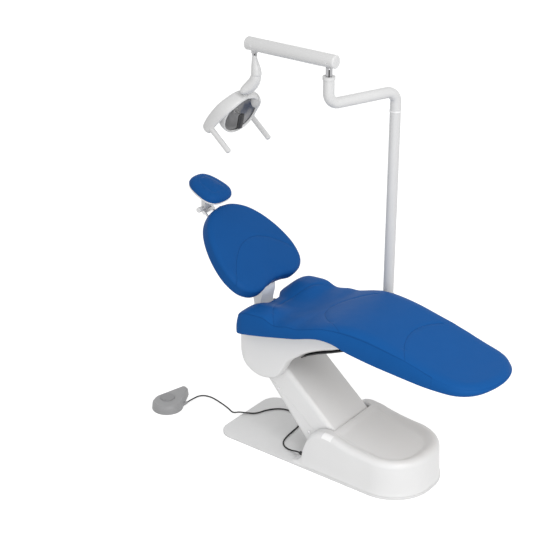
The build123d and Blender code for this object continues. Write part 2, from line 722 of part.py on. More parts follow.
shroud_outside, shroud_inside = shroud_blank(0), shroud_blank(COVER_WALL)
board_room = along_seat(-30, BOARD_THICKNESS + 1, 192)
FLOOR_REAR = 60.0
with BuildPart() as seat_shroud:
    add(shroud_outside)
    add(shroud_inside, mode=Mode.SUBTRACT)
    add(board_room, mode=Mode.SUBTRACT)
    with Locations((0, (FLOOR_REAR - 400) / 2 + 1, 500)):
        Box(2 * SLOT_HALF_WIDTH, FLOOR_REAR + 400, 1000, mode=Mode.SUBTRACT)
    with Locations((0, 171, 400)):
        Box(2 * SLOT_HALF_WIDTH, 348, 360, mode=Mode.SUBTRACT)
    with BuildSketch(side_plane()):
        with Locations(BACK_HINGE):
            Circle(28)
    extrude(amount=90, both=True, mode=Mode.SUBTRACT)
    with Locations((200, POST_Y, 672)):
        Box(30, 46, 38, mode=Mode.SUBTRACT)
save(seat_shroud, "seat_shroud")

with BuildPart() as shroud_floor:
    with BuildSketch(side_plane()):
        with BuildLine():
            Polyline((-196, 690), (-110, 651.5), (-36, 622), (20, 595), (FLOOR_REAR, 571), (FLOOR_REAR, 565),
                     (20, 589), (-36, 616), (-110, 645.5), (-199, 685), close=True)
        make_face()
    extrude(amount=SHROUD_HALF_WIDTH - 2, both=True)
save(shroud_floor, "shroud_floor")

# A bracket from the seat frame carries the light's post beside the seat.
with BuildPart() as post_bracket:
    with Locations(((RAIL_INNER + RAIL_THICKNESS + POST_X) / 2, POST_Y, 672)):
        Box(POST_X - RAIL_INNER - RAIL_THICKNESS, 40, 32)
    with BuildSketch(Plane.XY.offset(640)):
        with Locations((POST_X, POST_Y)):
            Circle(POST_RADIUS + 7)
    extrude(amount=76)
    with BuildSketch(Plane.XY.offset(648)):
        with Locations((POST_X, POST_Y)):
            Circle(POST_RADIUS)
    extrude(amount=80, mode=Mode.SUBTRACT)
save(post_bracket, "post_bracket")
POST_TOP = 1628.0
with BuildPart() as light_post:
    with BuildSketch(Plane.XY.offset(648)):
        with Locations((POST_X, POST_Y)):
            Circle(POST_RADIUS)
            Circle(POST_RADIUS - 4, mode=Mode.SUBTRACT)
    extrude(amount=POST_TOP - 648)
save(light_post, "light_post")

# ================================================================ backrest
back_slope = radians(BACK_ANGLE)
BACK_PLANE = Plane(origin=(0, *BACK_CENTRE), x_dir=(1, 0, 0), z_dir=(0, -sin(back_slope), cos(back_slope)))
BACK_SIDE = [(0, -180), (60, -187), (120, -199), (180, -188), (228, -150), (250, -80), (246, -10), (224, 71),
             (184, 153), (136, 210), (70, 248), (0, 260)]


def back_outline(scale):
    """The backrest's outline in its own plane."""
    with BuildSketch(Plane.XY) as outline:
        with BuildLine():
            Spline(*[(x * scale, y * scale) for x, y in BACK_SIDE], tangents=[(1, 0), (-1, 0)])
            mirror(about=Plane.YZ)
        make_face()
    return outline.sketch_local


back_plan, pan_plan = back_outline(1.0), back_outline(0.9)
PAN_THICKNESS = 12.0
with BuildPart() as back_cushion:
    with BuildSketch(BACK_PLANE.offset(-BACK_THICKNESS / 2)):
        add(back_plan)
    extrude(amount=BACK_THICKNESS)
save(back_cushion, "back_cushion")
pan_top = -BACK_THICKNESS / 2
with BuildPart() as back_pan:
    with BuildSketch(BACK_PLANE.offset(pan_top - PAN_THICKNESS)):
        add(pan_plan)
    extrude(amount=PAN_THICKNESS)
save(back_pan, "back_pan")


def back_point(rise, depth):
    """Y and Z of a point in the backrest's plane frame: rise along it, depth behind its middle."""
    return (
        BACK_CENTRE[0] + rise * cos(back_slope) + depth * sin(back_slope),
        BACK_CENTRE[1] + rise * sin(back_slope) - depth * cos(back_slope),
    )


PAN_BACK = BACK_THICKNESS / 2 + PAN_THICKNESS
with BuildPart() as back_bracket:
    with BuildSketch(side_plane()):
        with BuildLine():
            front = Spline((398, 640), (407, 690), (399, 722), back_point(-158, PAN_BACK))
            rear = Spline((443, 640), (452, 705), (474, 780), back_point(-20, PAN_BACK))
            Line(front @ 0, rear @ 0)
            Line(front @ 1, rear @ 1)
        make_face()
        with Locations(BACK_HINGE):
            Circle(24)
        with Locations(BACK_HINGE):
            Circle(BACK_PIN_RADIUS + RUNNING_GAP, mode=Mode.SUBTRACT)
    extrude(amount=50, both=True)
save(back_bracket, "back_bracket")

# ================================================================ headrest
ROD_RADIUS, ROD_SPREAD, ROD_DEPTH = 6.0, 30.0, 62.0
GUIDE_LOW, GUIDE_HIGH = 110.0, 196.0
ROD_LOW, ROD_HIGH = 20.0, 292.0
with BuildPart() as headrest_guide:
    guide_plane = BACK_PLANE.offset(-PAN_BACK - 30)
    with BuildSketch(guide_plane):
        with Locations((0, (GUIDE_LOW + GUIDE_HIGH) / 2)):
            RectangleRounded(92, GUIDE_HIGH - GUIDE_LOW, 8)
    extrude(amount=30)
    for rod_x in (ROD_SPREAD, -ROD_SPREAD):
        with BuildSketch(Plane(origin=(rod_x, *back_point(GUIDE_LOW - 5, ROD_DEPTH)), x_dir=(1, 0, 0),
                               z_dir=(0, cos(back_slope), sin(back_slope)))):
            Circle(ROD_RADIUS + RUNNING_GAP)
        extrude(amount=GUIDE_HIGH - GUIDE_LOW + 10, mode=Mode.SUBTRACT)
save(headrest_guide, "headrest_guide")

LINK_HINGE = back_point(ROD_HIGH + 18, ROD_DEPTH)
head_slope = radians(HEAD_ANGLE)
HEAD_PLANE = Plane(origin=(0, *HEAD_CENTRE), x_dir=(1, 0, 0), z_dir=(0, -sin(head_slope), cos(head_slope)))


def head_point(rise, depth):
    """Y and Z of a point in the headrest's plane frame."""
    return (
        HEAD_CENTRE[0] + rise * cos(head_slope) + depth * sin(head_slope),
        HEAD_CENTRE[1] + rise * sin(head_slope) - depth * cos(head_slope),
    )


HEAD_HINGE = head_point(14, 54)
with BuildPart() as headrest_rods:
    for rod_x in (ROD_SPREAD, -ROD_SPREAD):
        with BuildSketch(Plane(origin=(rod_x, *back_point(ROD_LOW, ROD_DEPTH)), x_dir=(1, 0, 0),
                               z_dir=(0, cos(back_slope), sin(back_slope)))):
            Circle(ROD_RADIUS)
        extrude(amount=ROD_HIGH - ROD_LOW)
    for side_x in (22, -38):
        with BuildSketch(side_plane(side_x)):
            with BuildLine():
                Polyline(back_point(ROD_HIGH - 12, ROD_DEPTH + 9), back_point(ROD_HIGH - 12, ROD_DEPTH - 9),
                         back_point(ROD_HIGH + 18, ROD_DEPTH - 9), back_point(ROD_HIGH + 18, ROD_DEPTH + 9),
                         close=True)
            make_face()
            with Locations(LINK_HINGE):
                Circle(11)
                Circle(5 + RUNNING_GAP, mode=Mode.SUBTRACT)
        extrude(amount=16)
    with BuildSketch(side_plane()):
        with BuildLine():
            Polyline(back_point(ROD_HIGH - 12, ROD_DEPTH + 9), back_point(ROD_HIGH - 12, ROD_DEPTH - 9),
                     back_point(ROD_HIGH + 2, ROD_DEPTH - 9), back_point(ROD_HIGH + 2, ROD_DEPTH + 9),
                     close=True)
        make_face()
    extrude(amount=30, both=True)
save(headrest_rods, "headrest_rods")

with BuildPart() as headrest_link:
    link_angle = degrees(atan2(HEAD_HINGE[1] - LINK_HINGE[1], HEAD_HINGE[0] - LINK_HINGE[0]))
    link_length = hypot(HEAD_HINGE[1] - LINK_HINGE[1], HEAD_HINGE[0] - LINK_HINGE[0])
    link_plane = Plane(origin=(0, *LINK_HINGE), x_dir=(0, cos(radians(link_angle)), sin(radians(link_angle))),
                       z_dir=(1, 0, 0))
    with BuildSketch(link_plane):
        with Locations((link_length / 2, 0)):
            SlotCenterToCenter(link_length, 26)
    extrude(amount=21.7, both=True)
    fillet(headrest_link.edges().filter_by(lambda e: abs(abs(e.center().X) - 21.7) < 0.1), 5)
    with BuildSketch(side_plane()):
        with Locations(LINK_HINGE, HEAD_HINGE):
            Circle(5)
    extrude(amount=38, both=True)
save(headrest_link, "headrest_link")

HEAD_SIDE = [(0, -101), (36, -98), (58, -91), (73, -78), (83, -60), (87, -37), (85, 0), (78, 37), (70, 60),
             (58, 78), (44, 91), (27, 98), (0, 101)]


def head_outline(scale):
    """The headrest's outline in its own plane."""
    with BuildSketch(Plane.XY) as outline:
        with BuildLine():
            Spline(*[(x * scale, y * scale) for x, y in HEAD_SIDE], tangents=[(1, 0), (-1, 0)])
            mirror(about=Plane.YZ)
        make_face()
    return outline.sketch_local


head_plan, head_shell_plan = head_outline(1.0), head_outline(0.92)
with BuildPart() as headrest_cushion:
    with BuildSketch(HEAD_PLANE.offset(-HEAD_THICKNESS / 2)):
        add(head_plan)
    extrude(amount=HEAD_THICKNESS)
save(headrest_cushion, "headrest_cushion")
with BuildPart() as headrest_shell:
    with BuildSketch(HEAD_PLANE.offset(-HEAD_THICKNESS / 2 - 8)):
        add(head_shell_plan)
    extrude(amount=8)
    for side_x in (22, -38):
        with BuildSketch(side_plane(side_x)):
            with BuildLine():
                Polyline(head_point(-10, HEAD_THICKNESS / 2 + 7), head_point(38, HEAD_THICKNESS / 2 + 7),
                         head_point(25, 54), head_point(3, 54), close=True)
            make_face()
            with Locations(HEAD_HINGE):
                Circle(11)
                Circle(5 + RUNNING_GAP, mode=Mode.SUBTRACT)
        extrude(amount=16)
save(headrest_shell, "headrest_shell")
with BuildPart() as headrest_knob:
    with BuildSketch(side_plane(-38.3 - 20)):
        with Locations(LINK_HINGE):
            Circle(13)
    extrude(amount=20)
    fillet(headrest_knob.edges().group_by(Axis.X)[0], 3)
save(headrest_knob, "headrest_knob")

# ================================================================ operating light: arms
RING_HEIGHT = 8.0
ARM_BORE = POST_RADIUS - 4
with BuildPart() as post_ring:
    with BuildSketch(Plane.XY.offset(POST_TOP)):
        with Locations((POST_X, POST_Y)):
            Circle(POST_RADIUS + 1.5)
            Circle(ARM_BORE, mode=Mode.SUBTRACT)
    extrude(amount=RING_HEIGHT)
save(post_ring, "post_ring")

ELBOW_RADIUS = 52.0
RISER_TOP = 1838.0
arm_start = (POST_X, POST_Y, POST_TOP + RING_HEIGHT)
with BuildPart() as light_arm:
    with BuildLine() as arm_path:
        FilletPolyline(arm_start, (POST_X, POST_Y, LIGHT_ARM_Z), (0, RISER_Y, LIGHT_ARM_Z),
                       (0, RISER_Y, RISER_TOP), radius=ELBOW_RADIUS)
    with BuildSketch(Plane(origin=arm_start)):
        Circle(POST_RADIUS)
        Circle(ARM_BORE, mode=Mode.SUBTRACT)
    sweep(path=arm_path.line)
    with BuildSketch(Plane.XY.offset(POST_TOP - 120)):
        with Locations((POST_X, POST_Y)):
            Circle(ARM_BORE - RUNNING_GAP)
            Circle(ARM_BORE - 5, mode=Mode.SUBTRACT)
    extrude(amount=120 + RING_HEIGHT)
    with BuildSketch(Plane.XY.offset(POST_TOP + RING_HEIGHT)):
        with Locations((POST_X, POST_Y)):
            Circle(ARM_BORE)
            Circle(ARM_BORE - 5, mode=Mode.SUBTRACT)
    extrude(amount=20)
save(light_arm, "light_arm")

STEM_RADIUS = 10.0
COLLAR_TOP = RISER_TOP + 15
with BuildPart() as riser_collar:
    with BuildSketch(Plane.XY.offset(RISER_TOP)):
        with Locations((0, RISER_Y)):
            Circle(POST_RADIUS + 3)
    extrude(amount=COLLAR_TOP - RISER_TOP)
    with BuildSketch(Plane.XY.offset(RISER_TOP - 50)):
        with Locations((0, RISER_Y)):
            Circle(ARM_BORE)
    extrude(amount=50)
    with BuildSketch(Plane.XY.offset(RISER_TOP - 44)):
        with Locations((0, RISER_Y)):
            Circle(STEM_RADIUS + RUNNING_GAP)
    extrude(amount=100, mode=Mode.SUBTRACT)
save(riser_collar, "riser_collar")

ARM_PIN_RADIUS = 5.0
TONGUE_HALF = 12.0
SPRING_ARM_START, SPRING_ARM_LENGTH, SPRING_ARM_END = 33.0, 486.0, 7.0


def knuckle(y, block_radius, block_low, stem_low, name):
    """A chrome knuckle: a stem below, a block, and a tongue up to the spring arm's pin."""
    with BuildPart() as piece:
        with BuildSketch(Plane.XY.offset(stem_low)):
            with Locations((0, y)):
                Circle(STEM_RADIUS)
        extrude(amount=block_low - stem_low)
        with BuildSketch(Plane.XY.offset(block_low)):
            with Locations((0, y)):
                Circle(block_radius)
        extrude(amount=SPRING_ARM_Z - 30 - block_low)
        with BuildSketch(side_plane()):
            with Locations((y, SPRING_ARM_Z)):
                Circle(11)
            with Locations((y, SPRING_ARM_Z - 20)):
                Rectangle(20, 40)
        extrude(amount=TONGUE_HALF - 1, both=True)
        with BuildSketch(side_plane()):
            with Locations((y, SPRING_ARM_Z)):
                Circle(ARM_PIN_RADIUS + RUNNING_GAP)
        extrude(amount=40, both=True, mode=Mode.SUBTRACT)
    save(piece, name)


knuckle(RISER_Y, 15, COLLAR_TOP, RISER_TOP - 40, "arm_knuckle")
knuckle(YOKE_Y, 12, 1872, 1842, "end_knuckle")

with BuildPart() as spring_arm:
    with BuildSketch(along_y(SPRING_ARM_START, SPRING_ARM_Z)):
        Circle(SPRING_ARM_RADIUS)
    extrude(amount=SPRING_ARM_LENGTH)
    fillet(spring_arm.edges().filter_by(GeomType.CIRCLE), 9)
    with BuildSketch(along_y(SPRING_ARM_START + SPRING_ARM_END, SPRING_ARM_Z)):
        Circle(SPRING_ARM_RADIUS - 3)
    extrude(amount=SPRING_ARM_LENGTH - 2 * SPRING_ARM_END, mode=Mode.SUBTRACT)
    for middle in (RISER_Y + 4, YOKE_Y - 4):
        with Locations((0, middle, SPRING_ARM_Z - 25)):
            Box(34, 78, 20, mode=Mode.SUBTRACT)
    with BuildSketch(side_plane()):
        with Locations((RISER_Y, SPRING_ARM_Z), (YOKE_Y, SPRING_ARM_Z)):
            Circle(ARM_PIN_RADIUS)
    extrude(amount=40, both=True, mode=Mode.SUBTRACT)
save(spring_arm, "spring_arm")
with BuildPart() as arm_pins:
    with BuildSketch(side_plane()):
        with Locations((RISER_Y, SPRING_ARM_Z), (YOKE_Y, SPRING_ARM_Z)):
            Circle(ARM_PIN_RADIUS)
    extrude(amount=30, both=True)
save(arm_pins, "arm_pins")

# The balance spring is a plain sleeve here; its rod has a stop disc at each end.
with BuildPart() as spring_rod:
    with BuildSketch(along_y(130, SPRING_ARM_Z)):
        Circle(6)
    extrude(amount=290)
    for stop_y in (130, 414):
        with BuildSketch(along_y(stop_y, SPRING_ARM_Z)):
            Circle(SPRING_ARM_RADIUS - 3)
        extrude(amount=6)
save(spring_rod, "spring_rod")
with BuildPart() as balance_spring:
    with BuildSketch(along_y(136, SPRING_ARM_Z)):
        Circle(19)
        Circle(14, mode=Mode.SUBTRACT)
    extrude(amount=278)
save(balance_spring, "balance_spring")

# ================================================================ operating light: head
yaw = radians(LAMP_YAW)
dip = radians(LAMP_DIP)
ACROSS = Vector(cos(yaw), sin(yaw), 0)
BEAM = Vector(sin(yaw) * cos(dip), -cos(yaw) * cos(dip), -sin(dip))
LAMP_PLANE = Plane(origin=LAMP_CENTRE, x_dir=ACROSS, z_dir=BEAM)
NECK_HINGE = (0.0, 468.0, 1790.0)
HINGE_RADIUS = 24.0
HINGE_PLANE = Plane(origin=NECK_HINGE, x_dir=(0, 0, 1), z_dir=ACROSS)


def lamp_point(across, up, forward):
    """A point in the lamp head's own frame, in the chair's frame."""
    return LAMP_PLANE.from_local_coords((across, up, forward))


with BuildPart() as lamp_neck:
    with BuildSketch(Plane.XY.offset(1871.5)):
        with Locations((0, YOKE_Y)):
            Circle(13)
    with BuildSketch(Plane(origin=(0, 477, 1840), x_dir=(1, 0, 0), z_dir=(0, 0.05, 1))):
        Circle(14.5)
    with BuildSketch(Plane(origin=(0, 471, 1806), x_dir=(1, 0, 0), z_dir=(0, 0.2, 1))):
        Circle(18)
    loft()
    with BuildSketch(HINGE_PLANE.offset(-1.0)):
        Circle(HINGE_RADIUS)
    extrude(amount=17)
    with BuildSketch(HINGE_PLANE.offset(-50)):
        Circle(HINGE_RADIUS + 2)
    extrude(amount=49, mode=Mode.SUBTRACT)
    with BuildSketch(HINGE_PLANE.offset(-5)):
        Circle(6 + RUNNING_GAP)
    extrude(amount=40, mode=Mode.SUBTRACT)
    with BuildSketch(Plane.XY.offset(1830)):
        with Locations((0, YOKE_Y)):
            Circle(STEM_RADIUS + RUNNING_GAP)
    extrude(amount=60, mode=Mode.SUBTRACT)
save(lamp_neck, "lamp_neck")

BOWL_RADIUS = 104.0
BOWL_PROFILE = [(BOWL_RADIUS, -22), (97, -40), (80, -56), (50, -66), (0, -70)]
with BuildPart() as lamp_bowl:
    with BuildSketch(Plane(origin=LAMP_CENTRE, x_dir=ACROSS, z_dir=LAMP_PLANE.y_dir * -1)):
        with BuildLine():
            outer = Spline(*BOWL_PROFILE)
            inner = Spline(*[(max(r - 4, 0), z + 4) for r, z in BOWL_PROFILE])
            Line(outer @ 0, (BOWL_RADIUS, 22))
            Line((BOWL_RADIUS, 22), (BOWL_RADIUS - 4, 22))
            Line((BOWL_RADIUS - 4, 22), inner @ 0)
            Line(inner @ 1, outer @ 1)
        make_face()
    revolve(axis=Axis(LAMP_CENTRE, BEAM))
save(lamp_bowl, "lamp_bowl")

REFLECTOR_PROFILE = [(BOWL_RADIUS - 4, 4), (90, 0), (70, -14), (45, -26), (14, -32)]
with BuildPart() as reflector:
    with BuildSketch(Plane(origin=LAMP_CENTRE, x_dir=ACROSS, z_dir=LAMP_PLANE.y_dir * -1)):
        with BuildLine():
            Polyline(*REFLECTOR_PROFILE)
            Polyline(*[(r, z - 2.5) for r, z in REFLECTOR_PROFILE])
            Line(REFLECTOR_PROFILE[0], (REFLECTOR_PROFILE[0][0], REFLECTOR_PROFILE[0][1] - 2.5))
            Line(REFLECTOR_PROFILE[-1], (REFLECTOR_PROFILE[-1][0], REFLECTOR_PROFILE[-1][1] - 2.5))
        make_face()
    revolve(axis=Axis(LAMP_CENTRE, BEAM))
save(reflector, "reflector")
with BuildPart() as bulb:
    with BuildSketch(LAMP_PLANE.offset(-44)):
        Circle(14)
    extrude(amount=20)
    with BuildSketch(LAMP_PLANE.offset(-24)):
        Circle(7)
    extrude(amount=22)
save(bulb, "bulb")
with BuildPart() as bulb_shield:
    with BuildSketch(LAMP_PLANE.offset(2)):
        with Locations((0, -37)):
            SlotCenterToCenter(82, 34, rotation=90)
        with Locations((0, -90)):
            Rectangle(34, 40)
        Circle(BOWL_RADIUS - 4, mode=Mode.INTERSECT)
    extrude(amount=19)
    with BuildSketch(LAMP_PLANE):
        Circle(10)
    extrude(amount=12, mode=Mode.SUBTRACT)
    with BuildSketch(LAMP_PLANE):
        with Locations((0, -98)):
            Rectangle(60, 20)
    extrude(amount=6, mode=Mode.SUBTRACT)
save(bulb_shield, "bulb_shield")

# The housing is a bow round the bowl; it widens into a wing below on each side.
WING_X, WING_Y = 127.0, -78.0
HANDLE_RADIUS = 12.5
handle_dip = radians(11)
with BuildPart() as lamp_housing:
    with BuildSketch(LAMP_PLANE.offset(-56)):
        Circle(115)
        with BuildLine():
            Polyline((-115, 0), (115, 0), (WING_X, -42), (WING_X + 6, -98), (72, -98), (-72, -98),
                     (-WING_X - 6, -98), (-WING_X, -42), close=True)
        make_face()
        with Locations((0, -150)):
            Rectangle(150, 200, mode=Mode.SUBTRACT)
    extrude(amount=66)
    with BuildSketch(LAMP_PLANE.offset(-60)):
        Circle(BOWL_RADIUS)
    extrude(amount=80, mode=Mode.SUBTRACT)
    for side_x in (WING_X, -WING_X):
        with BuildSketch(LAMP_PLANE.offset(-72)):
            with Locations((side_x, WING_Y)):
                Circle(21)
        extrude(amount=74)
    for side_x in (WING_X, -WING_X):
        with BuildSketch(Plane(origin=lamp_point(side_x, WING_Y, 0),
                               x_dir=ACROSS,
                               z_dir=BEAM * cos(handle_dip) - LAMP_PLANE.y_dir * sin(handle_dip))):
            Circle(HANDLE_RADIUS)
        extrude(amount=100, both=True, mode=Mode.SUBTRACT)
    hinge_foot = lamp_point(0, 110, -25)
    with BuildLine() as stalk:
        Spline((-4, 468.6, 1782), (-3, 476, 1742), (2, 512, 1716), hinge_foot,
               tangents=[(0, 0, -1), (hinge_foot - Vector(-3, 476, 1742)).normalized()])
    with BuildSketch(Plane(origin=(-4, 468.6, 1782), x_dir=(1, 0, 0), z_dir=(0, 0, -1))):
        Circle(18)
    sweep(path=stalk.line)
    with BuildSketch(HINGE_PLANE.offset(-17)):
        Circle(HINGE_RADIUS)
    extrude(amount=15.9)
    with BuildSketch(HINGE_PLANE.offset(-1.1)):
        Circle(HINGE_RADIUS + 26)
    extrude(amount=30, mode=Mode.SUBTRACT)
    with BuildSketch(LAMP_PLANE.offset(-60)):
        Circle(BOWL_RADIUS)
    extrude(amount=80, mode=Mode.SUBTRACT)
    with BuildSketch(HINGE_PLANE.offset(-60)):
        Circle(6)
    extrude(amount=60, mode=Mode.SUBTRACT)
save(lamp_housing, "lamp_housing")
with BuildPart() as lamp_screw:
    with BuildSketch(HINGE_PLANE.offset(-16)):
        Circle(6)
    extrude(amount=32)
    with BuildSketch(HINGE_PLANE.offset(16)):
        Circle(9)
    extrude(amount=5)
save(lamp_screw, "lamp_screw")

for side_x, name in ((-WING_X, "handle_left"), (WING_X, "handle_right")):
    with BuildPart() as handle:
        with BuildSketch(Plane(origin=lamp_point(side_x, WING_Y, 0),
                               x_dir=ACROSS,
                               z_dir=BEAM * cos(handle_dip) - LAMP_PLANE.y_dir * sin(handle_dip)).offset(-60)):
            Circle(HANDLE_RADIUS)
        extrude(amount=178)
        fillet(handle.edges().filter_by(GeomType.CIRCLE), 9)
    save(handle, name)
with BuildPart() as housing_caps:
    for side_x in (1, -1):
        with BuildSketch(Plane(origin=lamp_point(106 * side_x, 38, -24), x_dir=BEAM, z_dir=ACROSS * side_x)):
            Circle(11)
        extrude(amount=10)
    with BuildSketch(LAMP_PLANE.offset(-60)):
        Circle(115)
    extrude(amount=80, mode=Mode.SUBTRACT)
save(housing_caps, "housing_caps")

# ================================================================ foot control
PEDAL = (-187.0, 898.0)
PEDAL_RADIUS, TIP_RADIUS, TIP_REACH, TIP_ANGLE = 78.0, 25.0, 148.0, 7.0
tip = (PEDAL[0] + TIP_REACH * cos(radians(TIP_ANGLE)), PEDAL[1] + TIP_REACH * sin(radians(TIP_ANGLE)))
side_angle = degrees(atan2(sqrt(TIP_REACH**2 - (PEDAL_RADIUS - TIP_RADIUS) ** 2), PEDAL_RADIUS - TIP_RADIUS))
BUTTON = (-167.0, 915.0)
BUTTON_RADIUS = 37.0


def pedal_outline(inset):
    """The foot control's teardrop outline."""
    with BuildSketch(Plane.XY) as outline:
        corners = []
        for centre, radius in ((PEDAL, PEDAL_RADIUS - inset), (tip, TIP_RADIUS - inset)):
            for turn in (-side_angle, side_angle):
                angle = radians(TIP_ANGLE + turn)
                corners.append((centre[0] + radius * cos(angle), centre[1] + radius * sin(angle)))
        with BuildLine():
            Polyline(corners[0], corners[2], corners[3], corners[1], close=True)
        make_face()
        with Locations(PEDAL):
            Circle(PEDAL_RADIUS - inset)
        with Locations(tip):
            Circle(TIP_RADIUS - inset)
    return outline.sketch_local


pedal_low, pedal_middle, pedal_top = pedal_outline(0), pedal_outline(3), pedal_outline(12)
pedal_room, pedal_room_top = pedal_outline(3.5), pedal_outline(14)
pedal_floor = pedal_outline(4.5)
EXIT = (-100.0, 843.0, 8.0)
BOSS_LENGTH = 35.0
with BuildPart() as pedal_blank:
    with BuildSketch(Plane.XY):
        add(pedal_low)
    with BuildSketch(Plane.XY.offset(30)):
        add(pedal_middle)
    loft(ruled=True)
    with BuildSketch(Plane.XY.offset(30)):
        add(pedal_middle)
    with BuildSketch(Plane.XY.offset(42)):
        add(pedal_top)
    loft(ruled=True)
with BuildPart() as pedal_inside:
    with BuildSketch(Plane.XY):
        add(pedal_room)
    with BuildSketch(Plane.XY.offset(39)):
        add(pedal_room_top)
    loft(ruled=True)
with BuildPart() as foot_housing:
    add(pedal_blank)
    with BuildSketch(Plane(origin=(EXIT[0] - BOSS_LENGTH, EXIT[1], EXIT[2]), z_dir=(1, 0, 0))):
        Circle(6.5)
    extrude(amount=BOSS_LENGTH)
    add(pedal_inside.part, mode=Mode.SUBTRACT)
    with BuildSketch(Plane.XY.offset(30)):
        with Locations(BUTTON):
            Circle(BUTTON_RADIUS + 0.6)
    extrude(amount=30, mode=Mode.SUBTRACT)
save(foot_housing, "foot_housing")

with BuildPart() as foot_base:
    with BuildSketch(Plane.XY):
        add(pedal_room)
    extrude(amount=2.5)
    with BuildSketch(Plane.XY):
        add(pedal_floor)
    extrude(amount=2.5, mode=Mode.INTERSECT)
    with BuildSketch(Plane.XY):
        with Locations(BUTTON):
            RectangleRounded(34, 24, 3)
    extrude(amount=18)
save(foot_base, "foot_base")
with BuildPart() as foot_button:
    with BuildSketch(Plane.XY.offset(33)):
        with Locations(BUTTON):
            Circle(BUTTON_RADIUS)
    extrude(amount=15)
    fillet(foot_button.edges().group_by(Axis.Z)[-1], 5)
    with BuildSketch(Plane.XY.offset(30)):
        with Locations(BUTTON):
            Circle(BUTTON_RADIUS - 3)
    extrude(amount=10, mode=Mode.SUBTRACT)
    with BuildSketch(Plane.XY.offset(24)):
        with Locations(BUTTON):
            Circle(6)
    extrude(amount=20)
save(foot_button, "foot_button")

# ================================================================ the foot control's cord
# Corners of the cord's centre line: from the foot control over the floor, up on to the base
# plate, round under the lift arm, and up to the gland on the base cover.
CORD_POINTS = [
    EXIT, (-60, 843, 8), (2, 841, 3.8), (24, 790, 3.8), (6, 705, 3.8), (-14, 640, 3.8), (-34, 598, 3.8),
    (-27, 564, 22.5), (-14, 531, 22.5), (16, 488, 15.7), (80, 468, 15.7), (134, 420, 15.7), (146, 350, 15.7), (114, 285, 15.7),
    (58, 250, 15.7), (0, 244, 15.7), (-62, 238, 15.7), (-118, 222, 15.7), (-149, 184, 15.7), (-153, 140, 17),
    (-168, 104, 36), GLAND,
]


def cord_radii(points):
    """Bend radius at each inner corner, from its shorter run and its turn."""
    radii = []
    for before, corner, after in zip(points, points[1:], points[2:]):
        run_in = Vector(corner) - Vector(before)
        run_out = Vector(after) - Vector(corner)
        half_turn = radians(run_in.get_angle(run_out)) / 2
        radii.append(0.45 * min(run_in.length, run_out.length) / (sin(half_turn) / cos(half_turn)))
    return radii


radii = cord_radii(CORD_POINTS)
with BuildPart() as control_cord:
    with BuildLine() as cord_path:
        FilletPolyline(*CORD_POINTS, radius=radii)
    with BuildSketch(Plane(origin=CORD_POINTS[0], z_dir=cord_path.line % 0)):
        Circle(CORD_RADIUS)
    sweep(path=cord_path.line)
save(control_cord, "control_cord")
cord_section = pi * CORD_RADIUS**2
cord_length = sum(edge.length for edge in cord_path.edges())
print("cord bend radii", [round(radius, 1) for radius in radii])
print("cord length", round(cord_length, 1),
      "volume", round(control_cord.part.volume), "of", round(cord_section * cord_length))
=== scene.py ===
"""A dental patient chair with its operating light and foot control.

Curved shells and cushions are rings of points: each point of an outline moves
inwards along a straight ray, and its height follows from how far in it is. A
cushion's wall rises to a seam, rolls over as a quarter of an ellipse, and
carries on as a crowned top. A shell's wall leans in, rounds over a shoulder,
and falls to a dish or to the edge of a slot. Round parts are profiles turned
about an axis. Shapes are worked out in millimetres, and the scene is in metres.
"""
import json
from math import cos, pi, radians, sin

import bmesh
import bpy
import numpy as np
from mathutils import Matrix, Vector


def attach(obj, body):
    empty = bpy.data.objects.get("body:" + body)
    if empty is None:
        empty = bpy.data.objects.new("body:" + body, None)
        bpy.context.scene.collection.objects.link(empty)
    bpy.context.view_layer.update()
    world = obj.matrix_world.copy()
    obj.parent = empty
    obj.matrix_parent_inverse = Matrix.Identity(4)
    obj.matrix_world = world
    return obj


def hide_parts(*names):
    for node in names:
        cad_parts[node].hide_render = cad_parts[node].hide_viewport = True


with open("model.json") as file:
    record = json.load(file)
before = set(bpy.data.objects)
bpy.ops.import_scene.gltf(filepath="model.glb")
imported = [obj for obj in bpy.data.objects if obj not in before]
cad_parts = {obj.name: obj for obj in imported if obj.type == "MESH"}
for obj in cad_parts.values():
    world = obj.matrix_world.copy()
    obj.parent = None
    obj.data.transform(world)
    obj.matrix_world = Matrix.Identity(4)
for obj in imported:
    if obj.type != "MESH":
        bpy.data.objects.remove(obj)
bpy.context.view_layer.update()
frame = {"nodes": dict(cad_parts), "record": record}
nodes = frame["nodes"]
scene = bpy.context.scene
MM = 0.001

# ---------------------------------------------------------------- studio
# A white floor that keeps the soft shadow, an even white surround and two broad
# lamps from the front, one high up. The floor and the surround show white to the
# camera and in reflections, and light the chair at a plain level.


def shader(tree, kind, place=(0, 0), **inputs):
    """A node of that kind, with values for its sockets; spaces in socket names are underscores."""
    node = tree.nodes.new("ShaderNode" + kind)
    node.location = place
    for socket, value in inputs.items():
        node.inputs[socket.replace("_", " ")].default_value = value
    return node


def seen_directly(tree):
    """1 for rays from the camera and for mirrored and refracted rays, 0 for light."""
    path = shader(tree, "LightPath")
    either = shader(tree, "Math")
    either.operation = "ADD"
    any_ray = shader(tree, "Math")
    any_ray.operation = "ADD"
    any_ray.use_clamp = True
    tree.links.new(path.outputs["Is Camera Ray"], either.inputs[0])
    tree.links.new(path.outputs["Is Glossy Ray"], either.inputs[1])
    tree.links.new(either.outputs[0], any_ray.inputs[0])
    tree.links.new(path.outputs["Is Transmission Ray"], any_ray.inputs[1])
    return any_ray.outputs[0]


